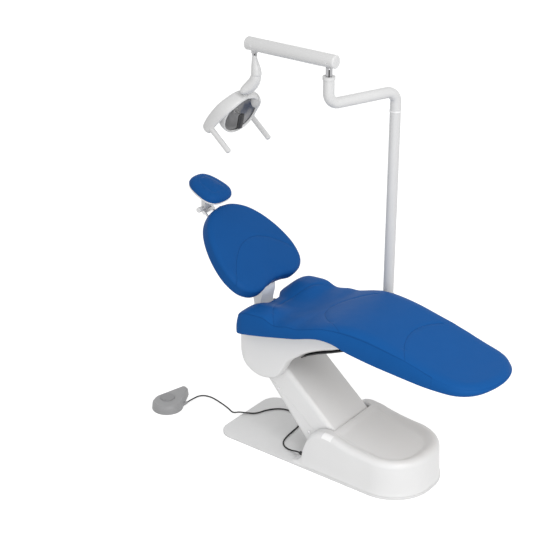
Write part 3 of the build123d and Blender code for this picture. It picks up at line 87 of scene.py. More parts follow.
world = bpy.data.worlds.new("surround")
world.use_nodes = True
scene.world = world
tree = world.node_tree
tree.nodes.clear()
lighting = shader(tree, "Background", Color=(1, 1, 1, 1), Strength=0.78)
backdrop = shader(tree, "Background", Color=(1, 1, 1, 1), Strength=1.0)
surround_mix = shader(tree, "MixShader")
world_output = shader(tree, "OutputWorld")
tree.links.new(seen_directly(tree), surround_mix.inputs[0])
tree.links.new(lighting.outputs[0], surround_mix.inputs[1])
tree.links.new(backdrop.outputs[0], surround_mix.inputs[2])
tree.links.new(surround_mix.outputs[0], world_output.inputs[0])

FLOOR_HALF = 30.0
FLOOR_LIFT = 0.60
floor_mesh = bpy.data.meshes.new("floor")
floor_corners = [(-FLOOR_HALF, -FLOOR_HALF, 0), (FLOOR_HALF, -FLOOR_HALF, 0),
                 (FLOOR_HALF, FLOOR_HALF, 0), (-FLOOR_HALF, FLOOR_HALF, 0)]
floor_mesh.from_pydata(floor_corners, [], [(0, 1, 2, 3)])
floor = bpy.data.objects.new("floor", floor_mesh)
scene.collection.objects.link(floor)
floor_paint = bpy.data.materials.new("floor_white")
floor_paint.use_nodes = True
tree = floor_paint.node_tree
tree.nodes.clear()
matt = shader(tree, "BsdfDiffuse", Color=(0.66, 0.66, 0.66, 1))
lift = shader(tree, "Emission", Color=(1, 1, 1, 1))
both = shader(tree, "AddShader")
floor_output = shader(tree, "OutputMaterial")
brightness = shader(tree, "Math")
brightness.operation = "MULTIPLY"
brightness.inputs[1].default_value = FLOOR_LIFT
tree.links.new(seen_directly(tree), brightness.inputs[0])
tree.links.new(brightness.outputs[0], lift.inputs["Strength"])
tree.links.new(matt.outputs[0], both.inputs[0])
tree.links.new(lift.outputs[0], both.inputs[1])
tree.links.new(both.outputs[0], floor_output.inputs[0])
floor_mesh.materials.append(floor_paint)

LAMP_AIM = Vector((0, 0, 0.6))


def disk_lamp(name, size, energy, place):
    """A round area lamp there, turned towards the chair's middle."""
    light = bpy.data.lights.new(name, "AREA")
    light.shape = "DISK"
    light.size = size
    light.energy = energy
    holder = bpy.data.objects.new(name, light)
    holder.location = place
    holder.rotation_euler = (LAMP_AIM - holder.location).to_track_quat("-Z", "Y").to_euler()
    scene.collection.objects.link(holder)


disk_lamp("key", 2.6, 90, (-1.6, -3.2, 4.2))
# The second, weaker and broader lamp stands low beside the camera and opens the shadows.
disk_lamp("fill", 3.2, 42, (-3.4, -3.0, 1.5))

# The camera stands to the left of the foot end and looks 25 degrees down.
camera = bpy.data.cameras.new("camera")
camera.sensor_width = 36
camera.lens = 97.96
camera_object = bpy.data.objects.new("camera", camera)
camera_object.location = (-4.9115, -3.3708, 3.7450)
camera_object.rotation_euler = Vector((0.7181, 0.5529, -0.4226)).to_track_quat("-Z", "Y").to_euler()
scene.collection.objects.link(camera_object)
scene.camera = camera_object
scene.view_settings.view_transform = "Standard"


# ---------------------------------------------------------------- control cord
# The foot control's rubber cord lies loosely on the floor, climbs on to the base
# plate, goes round under the lift arm and enters the gland on the cover.
def finish(name, colour, roughness, grain, depth, drift=0.03, stretch=(1, 1, 1), **shine):
    """A finish whose colour and roughness drift slowly, with fine bumps as its grain.

    The bumps are that many to the metre and that deep, the colour drifts by that
    share, and shine holds values for the surface's own sockets.
    """
    material = bpy.data.materials.new(name)
    material.use_nodes = True
    tree = material.node_tree
    surface = tree.nodes["Principled BSDF"]
    for socket, value in shine.items():
        surface.inputs[socket.replace("_", " ")].default_value = value
    place = shader(tree, "TexCoord", (-1400, 0))
    mapping = shader(tree, "Mapping", (-1200, 0), Scale=stretch)
    tree.links.new(place.outputs["Object"], mapping.inputs["Vector"])
    clouds = shader(tree, "TexNoise", (-1000, 300), Scale=7.0, Detail=4.0, Roughness=0.6)
    tree.links.new(mapping.outputs[0], clouds.inputs["Vector"])
    paint = shader(tree, "ValToRGB", (-700, 300))
    darker, lighter = paint.color_ramp.elements
    darker.position = 0.3
    lighter.position = 0.7
    darker.color = (*[channel * (1 - drift) for channel in colour], 1)
    lighter.color = (*[min(channel * (1 + drift), 1) for channel in colour], 1)
    tree.links.new(clouds.outputs[0], paint.inputs[0])
    tree.links.new(paint.outputs[0], surface.inputs["Base Color"])
    gloss = shader(tree, "MapRange", (-700, 0), To_Min=roughness - 0.05, To_Max=roughness + 0.05)
    smudges = shader(tree, "TexNoise", (-1000, 0), Scale=26.0, Detail=3.0)
    tree.links.new(mapping.outputs[0], smudges.inputs["Vector"])
    tree.links.new(smudges.outputs[0], gloss.inputs["Value"])
    tree.links.new(gloss.outputs[0], surface.inputs["Roughness"])
    bumps = shader(tree, "TexNoise", (-1000, -300), Scale=grain, Detail=2.0)
    tree.links.new(mapping.outputs[0], bumps.inputs["Vector"])
    relief = shader(tree, "Bump", (-400, -300), Distance=depth, Strength=0.6)
    tree.links.new(bumps.outputs[0], relief.inputs["Height"])
    tree.links.new(relief.outputs[0], surface.inputs["Normal"])
    return material


cord_rubber = finish("cord_rubber", (0.006, 0.006, 0.007), 0.75, 1400, 0.00010, drift=0.2)
CORD_POINTS = [
    (-0.100, 0.843, 0.008), (-0.060, 0.843, 0.008), (0.002, 0.841, 0.0038), (0.024, 0.790, 0.0038),
    (0.006, 0.705, 0.0038), (-0.014, 0.640, 0.0038), (-0.034, 0.598, 0.0038), (-0.027, 0.562, 0.0190),
    (-0.014, 0.531, 0.0190), (0.016, 0.488, 0.0157), (0.080, 0.468, 0.0157), (0.134, 0.420, 0.0157),
    (0.146, 0.350, 0.0157), (0.114, 0.285, 0.0157), (0.058, 0.250, 0.0157), (0.0, 0.244, 0.0157),
    (-0.062, 0.238, 0.0157), (-0.118, 0.222, 0.0157), (-0.149, 0.184, 0.0157), (-0.153, 0.140, 0.017),
    (-0.168, 0.104, 0.036), (-0.168, 0.080, 0.036),
]
CORD_RADIUS = 0.0035
cord_curve = bpy.data.curves.new("floor_cord", "CURVE")
cord_curve.dimensions = "3D"
cord_curve.bevel_depth = CORD_RADIUS
cord_curve.bevel_resolution = 5
cord_curve.resolution_u = 12
cord_curve.render_resolution_u = 12
cord_curve.use_fill_caps = True
spline = cord_curve.splines.new("NURBS")
spline.points.add(len(CORD_POINTS) - 1)
for point, place in zip(spline.points, CORD_POINTS):
    point.co = (*place, 1)
spline.order_u = 3
spline.use_endpoint_u = True
cord_curve.materials.append(cord_rubber)
floor_cord = bpy.data.objects.new("floor_cord", cord_curve)
scene.collection.objects.link(floor_cord)
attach(floor_cord, "root")
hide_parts("control_cord")


# ---------------------------------------------------------------- base cover
# A moulded plastic shell that stands on the base plate: walls that lean in, round
# shoulders, a dished top and two lobes beside the slot in which the lift arm swings.
white_shell = finish("white_shell", (0.76, 0.76, 0.76), 0.36, 900, 0.00008, drift=0.012, Coat_Weight=0.1)


def quads(rows, columns, wrap=False):
    """Faces of a grid of points, row after row; wrap joins the last column to the first."""
    steps = columns if wrap else columns - 1
    row, column = np.meshgrid(np.arange(rows - 1), np.arange(steps), indexing="ij")
    following = (column + 1) % columns
    corners = [row * columns + column, row * columns + following,
               (row + 1) * columns + following, (row + 1) * columns + column]
    return np.stack(corners, axis=-1).reshape(-1, 4)


def piece(name, points, faces, body, slot, material, *replaced):
    """A smooth mesh piece; points that meet are joined and its faces turned outwards."""
    mesh = bpy.data.meshes.new(name)
    mesh.from_pydata(np.asarray(points).reshape(-1, 3).tolist(), [], np.asarray(faces).tolist())
    work = bmesh.new()
    work.from_mesh(mesh)
    bmesh.ops.remove_doubles(work, verts=work.verts, dist=1e-6)
    bmesh.ops.dissolve_degenerate(work, edges=work.edges, dist=1e-6)
    bmesh.ops.recalc_face_normals(work, faces=work.faces)
    work.to_mesh(mesh)
    work.free()
    mesh.polygons.foreach_set("use_smooth", np.ones(len(mesh.polygons), dtype=bool))
    mesh.materials.append(material)
    obj = bpy.data.objects.new(name, mesh)
    scene.collection.objects.link(obj)
    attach(obj, body)
    if replaced:
        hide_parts(*replaced)
    return obj


def curve_at(points, where):
    """The second coordinate of a polyline of (place, value) pairs, smoothed between its points."""
    table = np.array(sorted(points), dtype=float)
    place, value = table[:, 0], table[:, 1]
    slope = np.gradient(value, place)
    where = np.clip(where, place[0], place[-1])
    index = np.clip(np.searchsorted(place, where) - 1, 0, len(place) - 2)
    span = place[index + 1] - place[index]
    t = (where - place[index]) / span
    return ((2 * t**3 - 3 * t**2 + 1) * value[index] + (t**3 - 2 * t**2 + t) * span * slope[index]
            + (3 * t**2 - 2 * t**3) * value[index + 1] + (t**3 - t**2) * span * slope[index + 1])


def ease(t):
    """A smooth step from 0 to 1."""
    t = np.clip(t, 0, 1)
    return t * t * (3 - 2 * t)


def inward(outline, target):
    """The ray from each point of an outline to its target, its length and its direction."""
    rays = target - outline
    length = np.hypot(rays[:, 0], rays[:, 1])
    return rays, length, rays / length[:, None]


MIRROR = np.array([-1, 1])


def both_sides(half, closed=False):
    """Half an outline and its mirror image.

    Its last point, and its first as well if closed, lie on the middle line.
    """
    stop = 0 if closed else None
    return np.concatenate([half, (half * MIRROR)[-2:stop:-1]])


def give_wall(obj, wall):
    """Thickens a skin inwards."""
    thickness = obj.modifiers.new("wall", "SOLIDIFY")
    thickness.thickness = wall
    thickness.offset = -1.0


COVER_TOP = [(95, 12), (58, 35), (42, 66), (34, 107), (20, 146), (-4, 182), (-36, 206), (-72, 217),
             (-112, 216), (-200, 198), (-300, 188), (-400, 185), (-560, 184)]
DISH_FLOOR = [(-90, 213), (-150, 197), (-220, 181), (-300, 170), (-400, 164), (-460, 166), (-505, 174)]
# The wall's lean, the shoulder's radius and the least share of the crest that is wall.
PLATE_TOP = 12
LEAN, SHOULDER = 9.0, 30.0
LOW_WALL = 0.45
# The plan: straight sides, a round front with a short flat, and a slot that closes in a fan.
COVER_HALF, FRONT_CENTRE, FRONT_RADIUS, FRONT_HALF = 223.0, -342.0, 203.0, 20
SLOT_HALF, SLOT_FRONT, FAN_END = 152.0, -104.0, -224.0
DISH_REAR, DISH_REAR_SLOPE, DISH_SIDE_SLOPE = -88, 60, 46

lobe_y = np.concatenate([np.linspace(95, 60, 10), np.linspace(56, 0, 40), np.linspace(-3, -104, 30)])
side_y = np.linspace(-107, FRONT_CENTRE, 60)
arc = np.linspace(0, pi / 2, 60)[1:]
cover_left = np.concatenate([
    np.stack([np.full(len(lobe_y), -COVER_HALF), lobe_y], 1),
    np.stack([np.full(len(side_y), -COVER_HALF), side_y], 1),
    np.stack([-FRONT_HALF - FRONT_RADIUS * np.cos(arc), FRONT_CENTRE - FRONT_RADIUS * np.sin(arc)], 1),
    [(-10.0, FRONT_CENTRE - FRONT_RADIUS), (0.0, FRONT_CENTRE - FRONT_RADIUS)],
])
edge_y = cover_left[:, 1]
inner_x = np.where(edge_y >= SLOT_FRONT, -SLOT_HALF,
                   -SLOT_HALF * np.clip((edge_y - FAN_END) / (SLOT_FRONT - FAN_END), 0, 1))
inner_y = np.where(edge_y >= SLOT_FRONT, edge_y,
                   SLOT_FRONT - (SLOT_FRONT - FRONT_CENTRE)
                   * np.clip((FAN_END - edge_y) / (FAN_END - FRONT_CENTRE), 0, 1))
cover_outer = both_sides(cover_left)
cover_inner = both_sides(np.stack([inner_x, inner_y], 1))


def wall_height(crest):
    """Height at which the wall ends and the shoulder begins."""
    return np.maximum(crest - SHOULDER, PLATE_TOP + LOW_WALL * (crest - PLATE_TOP))


def cover_height(y, depth):
    """Height of the cover's skin at a plan point that is that far inside its outline."""
    crest = curve_at(COVER_TOP, y)
    wall = wall_height(crest)
    turn = np.clip((depth - LEAN) / SHOULDER, 0, 1)
    height = wall + (crest - wall) * np.sqrt(1 - (1 - turn) ** 2)
    sunk = ease((depth - LEAN - SHOULDER) / DISH_SIDE_SLOPE) * ease((DISH_REAR - y) / DISH_REAR_SLOPE)
    sunk = np.where(y < DISH_REAR, sunk, 0)
    return height + (np.minimum(curve_at(DISH_FLOOR, y), crest) - crest) * sunk


_, length, unit = inward(cover_outer, cover_inner)
cover_points = []
wall_line = wall_height(curve_at(COVER_TOP, cover_outer[:, 1]))
WALL_LEAN = [(0.0, 0.0), (0.03, 0.5), (0.08, 2.6), (0.2, 3.6), (0.4, 5.0), (0.6, 6.4), (0.8, 7.8),
             (1.0, LEAN)]
for part, lean in WALL_LEAN:
    plan = cover_outer + unit * lean
    cover_points.append(np.column_stack([plan, PLATE_TOP + (wall_line - PLATE_TOP) * part]))
ROLL_END = 71
shoulder_depths = LEAN + SHOULDER * (1 - np.cos(np.linspace(0.08, pi / 2, 18)))
for depth in np.concatenate([shoulder_depths, [43, 48, 54, 62, ROLL_END]]):
    plan = cover_outer + unit * depth
    cover_points.append(np.column_stack([plan, cover_height(plan[:, 1], depth)]))
for fraction in np.linspace(0, 1, 30)[1:]:
    depth = ROLL_END + (length - ROLL_END) * fraction
    plan = cover_outer + unit * depth[:, None]
    beyond = np.hypot(np.maximum(np.abs(plan[:, 0]) - FRONT_HALF, 0), plan[:, 1] - FRONT_CENTRE)
    true_depth = np.where(plan[:, 1] > FRONT_CENTRE, COVER_HALF - np.abs(plan[:, 0]),
                          FRONT_RADIUS - beyond)
    cover_points.append(np.column_stack([plan, cover_height(plan[:, 1], true_depth)]))
rim = cover_points[-1]
BESIDE_SLOT = SLOT_FRONT - 125
lobe = cover_outer[:, 1] >= BESIDE_SLOT
for drop in (3, 12, 40):
    lower = rim.copy()
    lower[:, 2] = np.where(lobe, np.maximum(rim[:, 2] - drop, PLATE_TOP), rim[:, 2])
    cover_points.append(lower)
cover_grid = np.array(cover_points) * MM
base_shell = piece("base_shell", cover_grid, quads(len(cover_grid), cover_grid.shape[1]), "root",
                   "white_shell", white_shell, "base_cover")
give_wall(base_shell, 0.0035)


# ---------------------------------------------------------------- seat shroud
# A moulded plastic tub under the seat frame, open on top and slotted below for
# the lift arm, with its lower edge rolled round to the slot.
SHROUD_BOTTOM = [(-186, 690), (-110, 656), (-36, 627), (20, 600), (72, 567), (113, 536), (150, 497),
                 (172, 455), (202, 414), (258, 390), (322, 388), (372, 412), (412, 455), (436, 510),
                 (444, 560), (445, 590)]
SHROUD_RIM = [(-186, 702), (-150, 716), (-90, 719), (74, 679), (245, 638), (386, 610), (445, 600)]
SHROUD_HALF, SHROUD_FRONT, SHROUD_REAR, SHROUD_CORNER = 200.0, -186, 445.0, 70.0
SHROUD_SLOT_REAR, SLOT_CLOSES, REAR_LEDGE = 345.0, 300, 48
EDGE_ROUND = 20.0
run_y = np.linspace(SHROUD_FRONT, SHROUD_REAR - SHROUD_CORNER, 90)
turn = np.linspace(0, pi / 2, 40)[1:]
across = np.linspace(-(SHROUD_HALF - SHROUD_CORNER), 0, 16)[1:]
shroud_left = np.concatenate([
    np.stack([np.full(len(run_y), -SHROUD_HALF), run_y], 1),
    np.stack([-SHROUD_HALF + SHROUD_CORNER * (1 - np.cos(turn)),
              SHROUD_REAR - SHROUD_CORNER * (1 - np.sin(turn))], 1),
    np.stack([across, np.full(len(across), SHROUD_REAR)], 1),
])
slot_y = np.minimum(shroud_left[:, 1], SHROUD_SLOT_REAR)
slot_x = np.where(shroud_left[:, 1] < SLOT_CLOSES, -SLOT_HALF, np.minimum(shroud_left[:, 0] + REAR_LEDGE, 0))
slot_left = np.stack([np.maximum(slot_x, -SLOT_HALF), slot_y], 1)
shroud_outer = both_sides(shroud_left)
_, length, unit = inward(shroud_outer, both_sides(slot_left))


def shroud_bottom(y):
    """Height of the shroud's underside along its middle."""
    return curve_at(SHROUD_BOTTOM, y)


low_line = shroud_bottom(shroud_outer[:, 1])
rim_line = curve_at(SHROUD_RIM, shroud_outer[:, 1])
rounding = np.clip(rim_line - low_line - 4, 3, EDGE_ROUND)
shroud_points = []
for part in np.linspace(0, 1, 9):
    height = rim_line + (low_line + rounding - rim_line) * part
    shroud_points.append(np.column_stack([shroud_outer, height]))
for angle in np.linspace(0, pi / 2, 12)[1:]:
    depth = EDGE_ROUND * (1 - cos(angle))
    plan = shroud_outer + unit * depth
    height = shroud_bottom(plan[:, 1]) + rounding * (1 - sin(angle))
    shroud_points.append(np.column_stack([plan, np.minimum(height, rim_line)]))
for fraction in np.linspace(0, 1, 8)[1:]:
    plan = shroud_outer + unit * (EDGE_ROUND + (length - EDGE_ROUND) * fraction)[:, None]
    shroud_points.append(np.column_stack([plan, np.minimum(shroud_bottom(plan[:, 1]), rim_line)]))
for rise in (2, 10):
    lip = shroud_points[-1].copy()
    lip[:, 2] = np.minimum(lip[:, 2] + rise, rim_line)
    shroud_points.append(lip)
shroud_grid = np.array(shroud_points) * MM
shroud_shell = piece("shroud_shell", shroud_grid, quads(len(shroud_grid), shroud_grid.shape[1]), "carriage",
                     "white_shell", white_shell, "seat_shroud")
give_wall(shroud_shell, 0.003)


# ---------------------------------------------------------------- upholstery
# Blue vinyl with a fine leather grain. A seam is a narrow groove where one of the
# cushion's seam maps passes through zero; painted shade darkens its colour there.
SEAM_WIDTH, SEAM_DEPTH, SEAM_PAINTED_SHADE = 0.0022, 0.0008, 0.55


def vinyl(name, colour, seams):
    """The vinyl finish; seams are (map name, which of its two values) pairs."""
    material = finish(name, colour, 0.48, 480, 0.00012, drift=0.02, Specular_IOR_Level=0.05)
    tree = material.node_tree
    surface = tree.nodes["Principled BSDF"]
    place = shader(tree, "TexCoord", (-1400, -700))
    pebbles = shader(tree, "TexVoronoi", (-1000, -600), Scale=520.0)
    pebbles.feature = "SMOOTH_F1"
    tree.links.new(place.outputs["Object"], pebbles.inputs["Vector"])
    leather = shader(tree, "Bump", (-300, -600), Distance=0.00016, Strength=0.5)
    tree.links.new(pebbles.outputs["Distance"], leather.inputs["Height"])
    tree.links.new(surface.inputs["Normal"].links[0].from_socket, leather.inputs["Normal"])
    depth = None
    for number, (layer, channel) in enumerate(seams):
        height = -1000 - 300 * number
        drawn = shader(tree, "UVMap", (-2200, height))
        drawn.uv_map = layer
        split = shader(tree, "SeparateXYZ", (-2000, height))
        tree.links.new(drawn.outputs[0], split.inputs[0])
        size = shader(tree, "Math", (-1800, height))
        size.operation = "ABSOLUTE"
        tree.links.new(split.outputs[channel], size.inputs[0])
        line = shader(tree, "MapRange", (-1600, height), From_Max=SEAM_WIDTH,
                      To_Min=1.0, To_Max=0.0)
        line.interpolation_type = "SMOOTHSTEP"
        tree.links.new(size.outputs[0], line.inputs["Value"])
        if depth is None:
            depth = line.outputs[0]
        else:
            most = shader(tree, "Math", (-1400, height))
            most.operation = "MAXIMUM"
            tree.links.new(depth, most.inputs[0])
            tree.links.new(line.outputs[0], most.inputs[1])
            depth = most.outputs[0]
    groove = shader(tree, "Bump", (-100, -900), Distance=SEAM_DEPTH, Strength=1.0)
    groove.invert = True
    tree.links.new(depth, groove.inputs["Height"])
    tree.links.new(leather.outputs[0], groove.inputs["Normal"])
    tree.links.new(groove.outputs[0], surface.inputs["Normal"])
    # Painted shade: the seam's colour is multiplied by a bluish grey along its groove.
    shade = shader(tree, "Mix", (-100, 300))
    shade.data_type = "RGBA"
    shade.blend_type = "MULTIPLY"
    painted_seam_shade = shader(tree, "Math", (-300, 100))
    painted_seam_shade.operation = "MULTIPLY"
    painted_seam_shade.inputs[1].default_value = SEAM_PAINTED_SHADE
    tree.links.new(depth, painted_seam_shade.inputs[0])
    tree.links.new(painted_seam_shade.outputs[0], shade.inputs["Factor"])
    tree.links.new(surface.inputs["Base Color"].links[0].from_socket, shade.inputs[6])
    shade.inputs[7].default_value = (0.55, 0.55, 0.6, 1)
    tree.links.new(shade.outputs[2], surface.inputs["Base Color"])
    return material


def seam_map(obj, name, first, second):
    """Stores two values for each vertex as a map of that name."""
    layer = obj.data.uv_layers.new(name=name)
    index = np.empty(len(obj.data.loops), dtype=int)
    obj.data.loops.foreach_get("vertex_index", index)
    layer.data.foreach_set("uv", np.stack([first[index], second[index]], 1).ravel())


def vertices(obj):
    """The vertex places of a mesh piece as an (n, 3) array."""
    places = np.empty(len(obj.data.vertices) * 3)
    obj.data.vertices.foreach_get("co", places)
    return places.reshape(-1, 3)


# ---------------------------------------------------------------- seat cushion
# One long foam pad in blue vinyl from the hips to the feet, thick and wide at the
# hips, with a raised roll at each side, a knee bump and a thin round toe. It lies
# on a board.
SEAT_TOP = [(405, 700), (350, 705), (280, 712), (200, 718), (120, 731), (40, 752), (-40, 778), (-120, 798),
            (-200, 806), (-300, 800), (-420, 775), (-540, 745), (-650, 720), (-750, 704), (-846, 694),
            (-874, 690)]
SEAT_CREASE = [(405, 708), (380, 722), (350, 735), (300, 742), (243, 744), (177, 726), (130, 735), (75, 758),
               (-27, 780), (-109, 790), (-157, 793), (-295, 786), (-428, 766), (-533, 748), (-623, 720),
               (-700, 699), (-790, 683), (-874, 676)]
SEAT_BOTTOM = [(388, 612), (245, 642), (74, 684), (-90, 725), (-150, 718), (-200, 701), (-300, 681),
               (-450, 664), (-640, 650), (-760, 646), (-830, 650), (-874, 660)]


def spline_through(points, count):
    """Evenly spaced points on a smooth curve through the given ones."""
    given = np.array(points, dtype=float)
    chord = np.concatenate([[0], np.cumsum(np.linalg.norm(np.diff(given[:, :3], axis=0), axis=1) ** 0.5)])
    fine = np.linspace(0, chord[-1], 40 * len(given))
    dense = np.stack([curve_at(list(zip(chord, given[:, axis])), fine) for axis in range(given.shape[1])], 1)
    along = np.concatenate([[0], np.cumsum(np.linalg.norm(np.diff(dense[:, :3], axis=0), axis=1))])
    even = np.linspace(0, along[-1], count)
    return np.stack([np.interp(even, along, dense[:, axis]) for axis in range(given.shape[1])], 1)


seat_right = spline_through(
    [(0, -874), (47, -869), (90, -857), (130, -838), (164, -811), (191, -776), (207, -735), (216, -680),
     (222, -610), (225, -520), (229, -420), (233, -330), (240, -230), (250, -140), (259, -60), (263, 20),
     (263, 120), (263, 240), (263, 330), (261, 368), (252, 393), (228, 404), (190, 405), (150, 405),
     (110, 404), (84, 400), (66, 386), (50, 378), (0, 377)], 250)
seat_outline = both_sides(seat_right, closed=True)
SPINE_FRONT, SPINE_REAR = -720, 180
spine_y = np.clip(seat_outline[:, 1], SPINE_FRONT, SPINE_REAR)
rays, length, unit = inward(seat_outline, np.stack([np.zeros(len(spine_y)), spine_y], 1))
# Seams across the seat: place on the middle line, and bend.
ARCHES = ((298, 0.00197), (38, 0.0038), (-413, 0.0020))
SEAT_HALF, CROWN, SEAM_LOSS = 255, 6, 4
ROLL_START, ROLL_RUN, ROLL_RISE = 40, 120, 8
TOE_START, TOE_RUN, TOE_DROP = -560, 260, 9
SIDE_LEAN, TOE_LEAN = 9.0, 5.0


def arch_level(arch, x, y):
    """Signed distance from a seam that crosses the cushion as a parabola."""
    top, bend = arch
    return (y - top + bend * x**2) / np.sqrt(1 + (2 * bend * x) ** 2)


def seat_surface(x, y):
    """Height of the seat's top between its side seams."""
    across = np.abs(x) / SEAT_HALF
    centre = curve_at(SEAT_TOP, y)
    crease = curve_at(SEAT_CREASE, y)
    roll = ease((y - ROLL_START) / ROLL_RUN)
    bolster = np.maximum(crease + ROLL_RISE - centre, 0) * roll * ease((across - 0.08) / 0.6)
    crown = (1 - np.clip(across, 0, 1) ** 3) * CROWN * (1 - roll)
    return centre - SEAM_LOSS + crown + bolster


def seam_dip(level, width=9.0, depth=2.6):
    """How far a seam pulls the cover in."""
    return depth * np.exp(-(level / width) ** 2)


def toe_share(y):
    """0 along the seat's sides, rising to 1 at its toe."""
    return ease((TOE_START - y) / TOE_RUN)


def edge_lean(y):
    """How far the wall leans in from the lower edge to the seam."""
    return SIDE_LEAN * (1 - toe_share(y)) + TOE_LEAN * toe_share(y)


def seat_crease(x, y):
    """Height of the seam round the top; at the rear it follows the dip between the rolls."""
    side = curve_at(SEAT_CREASE, y) - TOE_DROP * (1 - toe_share(y))
    return np.minimum(side, seat_surface(x, y) - ROLL_RISE)


def seat_bottom(y):
    """Height of the seat's lower edge."""
    return curve_at(SEAT_BOTTOM, y)


edge_y = seat_outline[:, 1]
toe = toe_share(edge_y)
crease_line, bottom_line = seat_crease(seat_outline[:, 0], edge_y), seat_bottom(edge_y)
seat_points = []
for fraction in np.linspace(1, 0.12, 9):
    plan = seat_outline + rays * fraction
    seat_points.append(np.column_stack([plan, seat_bottom(plan[:, 1])]))
wall_start = 6 + 8 * toe
WALL_BULGE = 2.5
for angle in np.linspace(0, pi / 2, 7):
    under = (8 + 16 * toe) * (1 - sin(angle))
    plan = seat_outline + unit * under[:, None]
    rise = wall_start * (1 - cos(angle))
    seat_points.append(np.column_stack([plan, seat_bottom(plan[:, 1]) + rise]))
for part in np.linspace(0, 1, 12)[1:]:
    bulge = WALL_BULGE * sin(pi * part)
    lean = SIDE_LEAN * part**1.6 * (1 - toe) + TOE_LEAN * part**2 * toe - bulge
    plan = seat_outline + unit * lean[:, None]
    height = bottom_line + wall_start + (crease_line - bottom_line - wall_start) * part
    seat_points.append(np.column_stack([plan, height]))
lean = edge_lean(edge_y)
reach = 58.0 - 18 * toe
for angle in np.linspace(0, pi / 2, 18)[1:]:
    plan = seat_outline + unit * (lean + reach * (1 - cos(angle)))[:, None]
    target = seat_surface(plan[:, 0], plan[:, 1])
    height = crease_line + (target - crease_line) * sin(angle)
    seat_points.append(np.column_stack([plan, height - seam_dip(reach * angle, 5, 0.6)]))
start = lean + reach
for fraction in np.linspace(0, 1, 34)[1:]:
    plan = seat_outline + unit * (start + (length - start) * fraction)[:, None]
    height = seat_surface(plan[:, 0], plan[:, 1])
    for arch in ARCHES:
        height = height - seam_dip(arch_level(arch, plan[:, 0], plan[:, 1]))
    seat_points.append(np.column_stack([plan, height]))
seat_grid = np.array(seat_points) * MM
upholstery = vinyl("upholstery", (0.0080, 0.085, 0.295),
                   [("cross_seams", 0), ("cross_seams", 1), ("long_seams", 0), ("long_seams", 1)])
seat_pad = piece("seat_pad", seat_grid, quads(len(seat_grid), seat_grid.shape[1], wrap=True), "carriage",
                 "upholstery", upholstery, "seat_cushion")
# A seam is drawn where its level passes through zero, so levels far from it draw nothing.
NO_SEAM, FAR_AWAY, SEAM_END = -80.0, 500, -640
places = vertices(seat_pad)
seat_x, seat_y, seat_z = places.T / MM
edge_depth = np.min([np.hypot(seat_x - x, seat_y - y) for x, y in seat_outline], axis=0)
lean_here = edge_lean(seat_y)
wall_level = seat_z - seat_crease(seat_x, seat_y)
side_level = np.where(edge_depth > lean_here + 0.4, edge_depth - lean_here, np.minimum(wall_level, 0))
side_level = np.where(seat_z < seat_bottom(seat_y) + 1, NO_SEAM, side_level)
off_top = np.where(side_level > -1.0, 0.0, 1.0)
levels = []
for arch in ARCHES:
    level = arch_level(arch, seat_x, seat_y)
    levels.append((level + FAR_AWAY * np.sign(level) * off_top) * MM)
seat_long = np.where(seat_y > SEAM_END, side_level, np.abs(side_level) + 5) * MM
seam_map(seat_pad, "cross_seams", levels[0], levels[1])
seam_map(seat_pad, "long_seams", levels[2], seat_long)


# ---------------------------------------------------------------- back and headrest cushions
# Two flat-backed foam pads in blue vinyl on moulded pans; each is crowned in
# front, with a rolled edge. The back's cover has one arched seam.
PAD_EDGE, PAD_BULGE = 4, 1.5


def pad_outline(half, count):
    """A closed outline from the right half of it, bottom to top."""
    return both_sides(spline_through(half, count), closed=True)


def plane_axes(slope):
    """Up and ahead of a plane that leans back by that many degrees."""
    slope = radians(slope)
    return np.array([0, cos(slope), sin(slope)]), np.array([0, -sin(slope), cos(slope)])


def pad(name, outline, spine, origin, slope, thickness, wall, roll, crown, arch, material, body, node):
    """A crowned pad in a plane through origin, its wall up to that level and its roll that wide."""
    along, ahead = plane_axes(slope)
    middle = np.stack([np.zeros(len(outline)), np.clip(outline[:, 1], *spine)], 1)
    rays, length, unit = inward(outline, middle)
    half = thickness / 2
    flat = np.ones(len(outline))
    rings = []
    for fraction in np.linspace(1, 0.2, 8):
        rings.append(np.column_stack([outline + rays * fraction, -half * flat]))
    for angle in np.linspace(0, pi / 2, 6):
        plan = outline + unit * (PAD_EDGE * (1 - sin(angle)))
        rings.append(np.column_stack([plan, (-half + PAD_EDGE * (1 - cos(angle))) * flat]))
    for part in np.linspace(0, 1, 6)[1:]:
        plan = outline - unit * (PAD_BULGE * sin(pi * part))
        rings.append(np.column_stack([plan, (PAD_EDGE - half + (wall + half - PAD_EDGE) * part) * flat]))
    for angle in np.linspace(0, pi / 2, 22)[1:]:
        plan = outline + unit * (roll * (1 - cos(angle)))
        rings.append(np.column_stack([plan, (wall + (half - crown - wall) * sin(angle)) * flat]))
    for fraction in np.linspace(0, 1, 30)[1:]:
        plan = outline + unit * (roll + (length - roll) * fraction)[:, None]
        rise = (half - crown + crown * (1 - (1 - fraction) ** 2)) * flat
        if arch:
            rise = rise - seam_dip(arch_level(arch, plan[:, 0], plan[:, 1]), 10, 2.4)
        rings.append(np.column_stack([plan, rise]))
    local = np.array(rings)
    places = (np.array([0, *origin]) + local[..., 0:1] * np.array([1, 0, 0]) + local[..., 1:2] * along
              + local[..., 2:3] * ahead)
    obj = piece(name, places * MM, quads(len(rings), len(outline), wrap=True), body, "upholstery",
                material, node)
    offset = vertices(obj) / MM - np.array([0, *origin])
    rise, depth = offset @ along, offset @ ahead
    behind = np.where(depth < wall, 1.0, 0.0)
    level = arch_level(arch, offset[:, 0], rise) if arch else np.full(len(rise), float(FAR_AWAY))
    seam_map(obj, "cross_seams", (level + FAR_AWAY * np.sign(level) * behind) * MM, (depth - wall) * MM)
    return obj


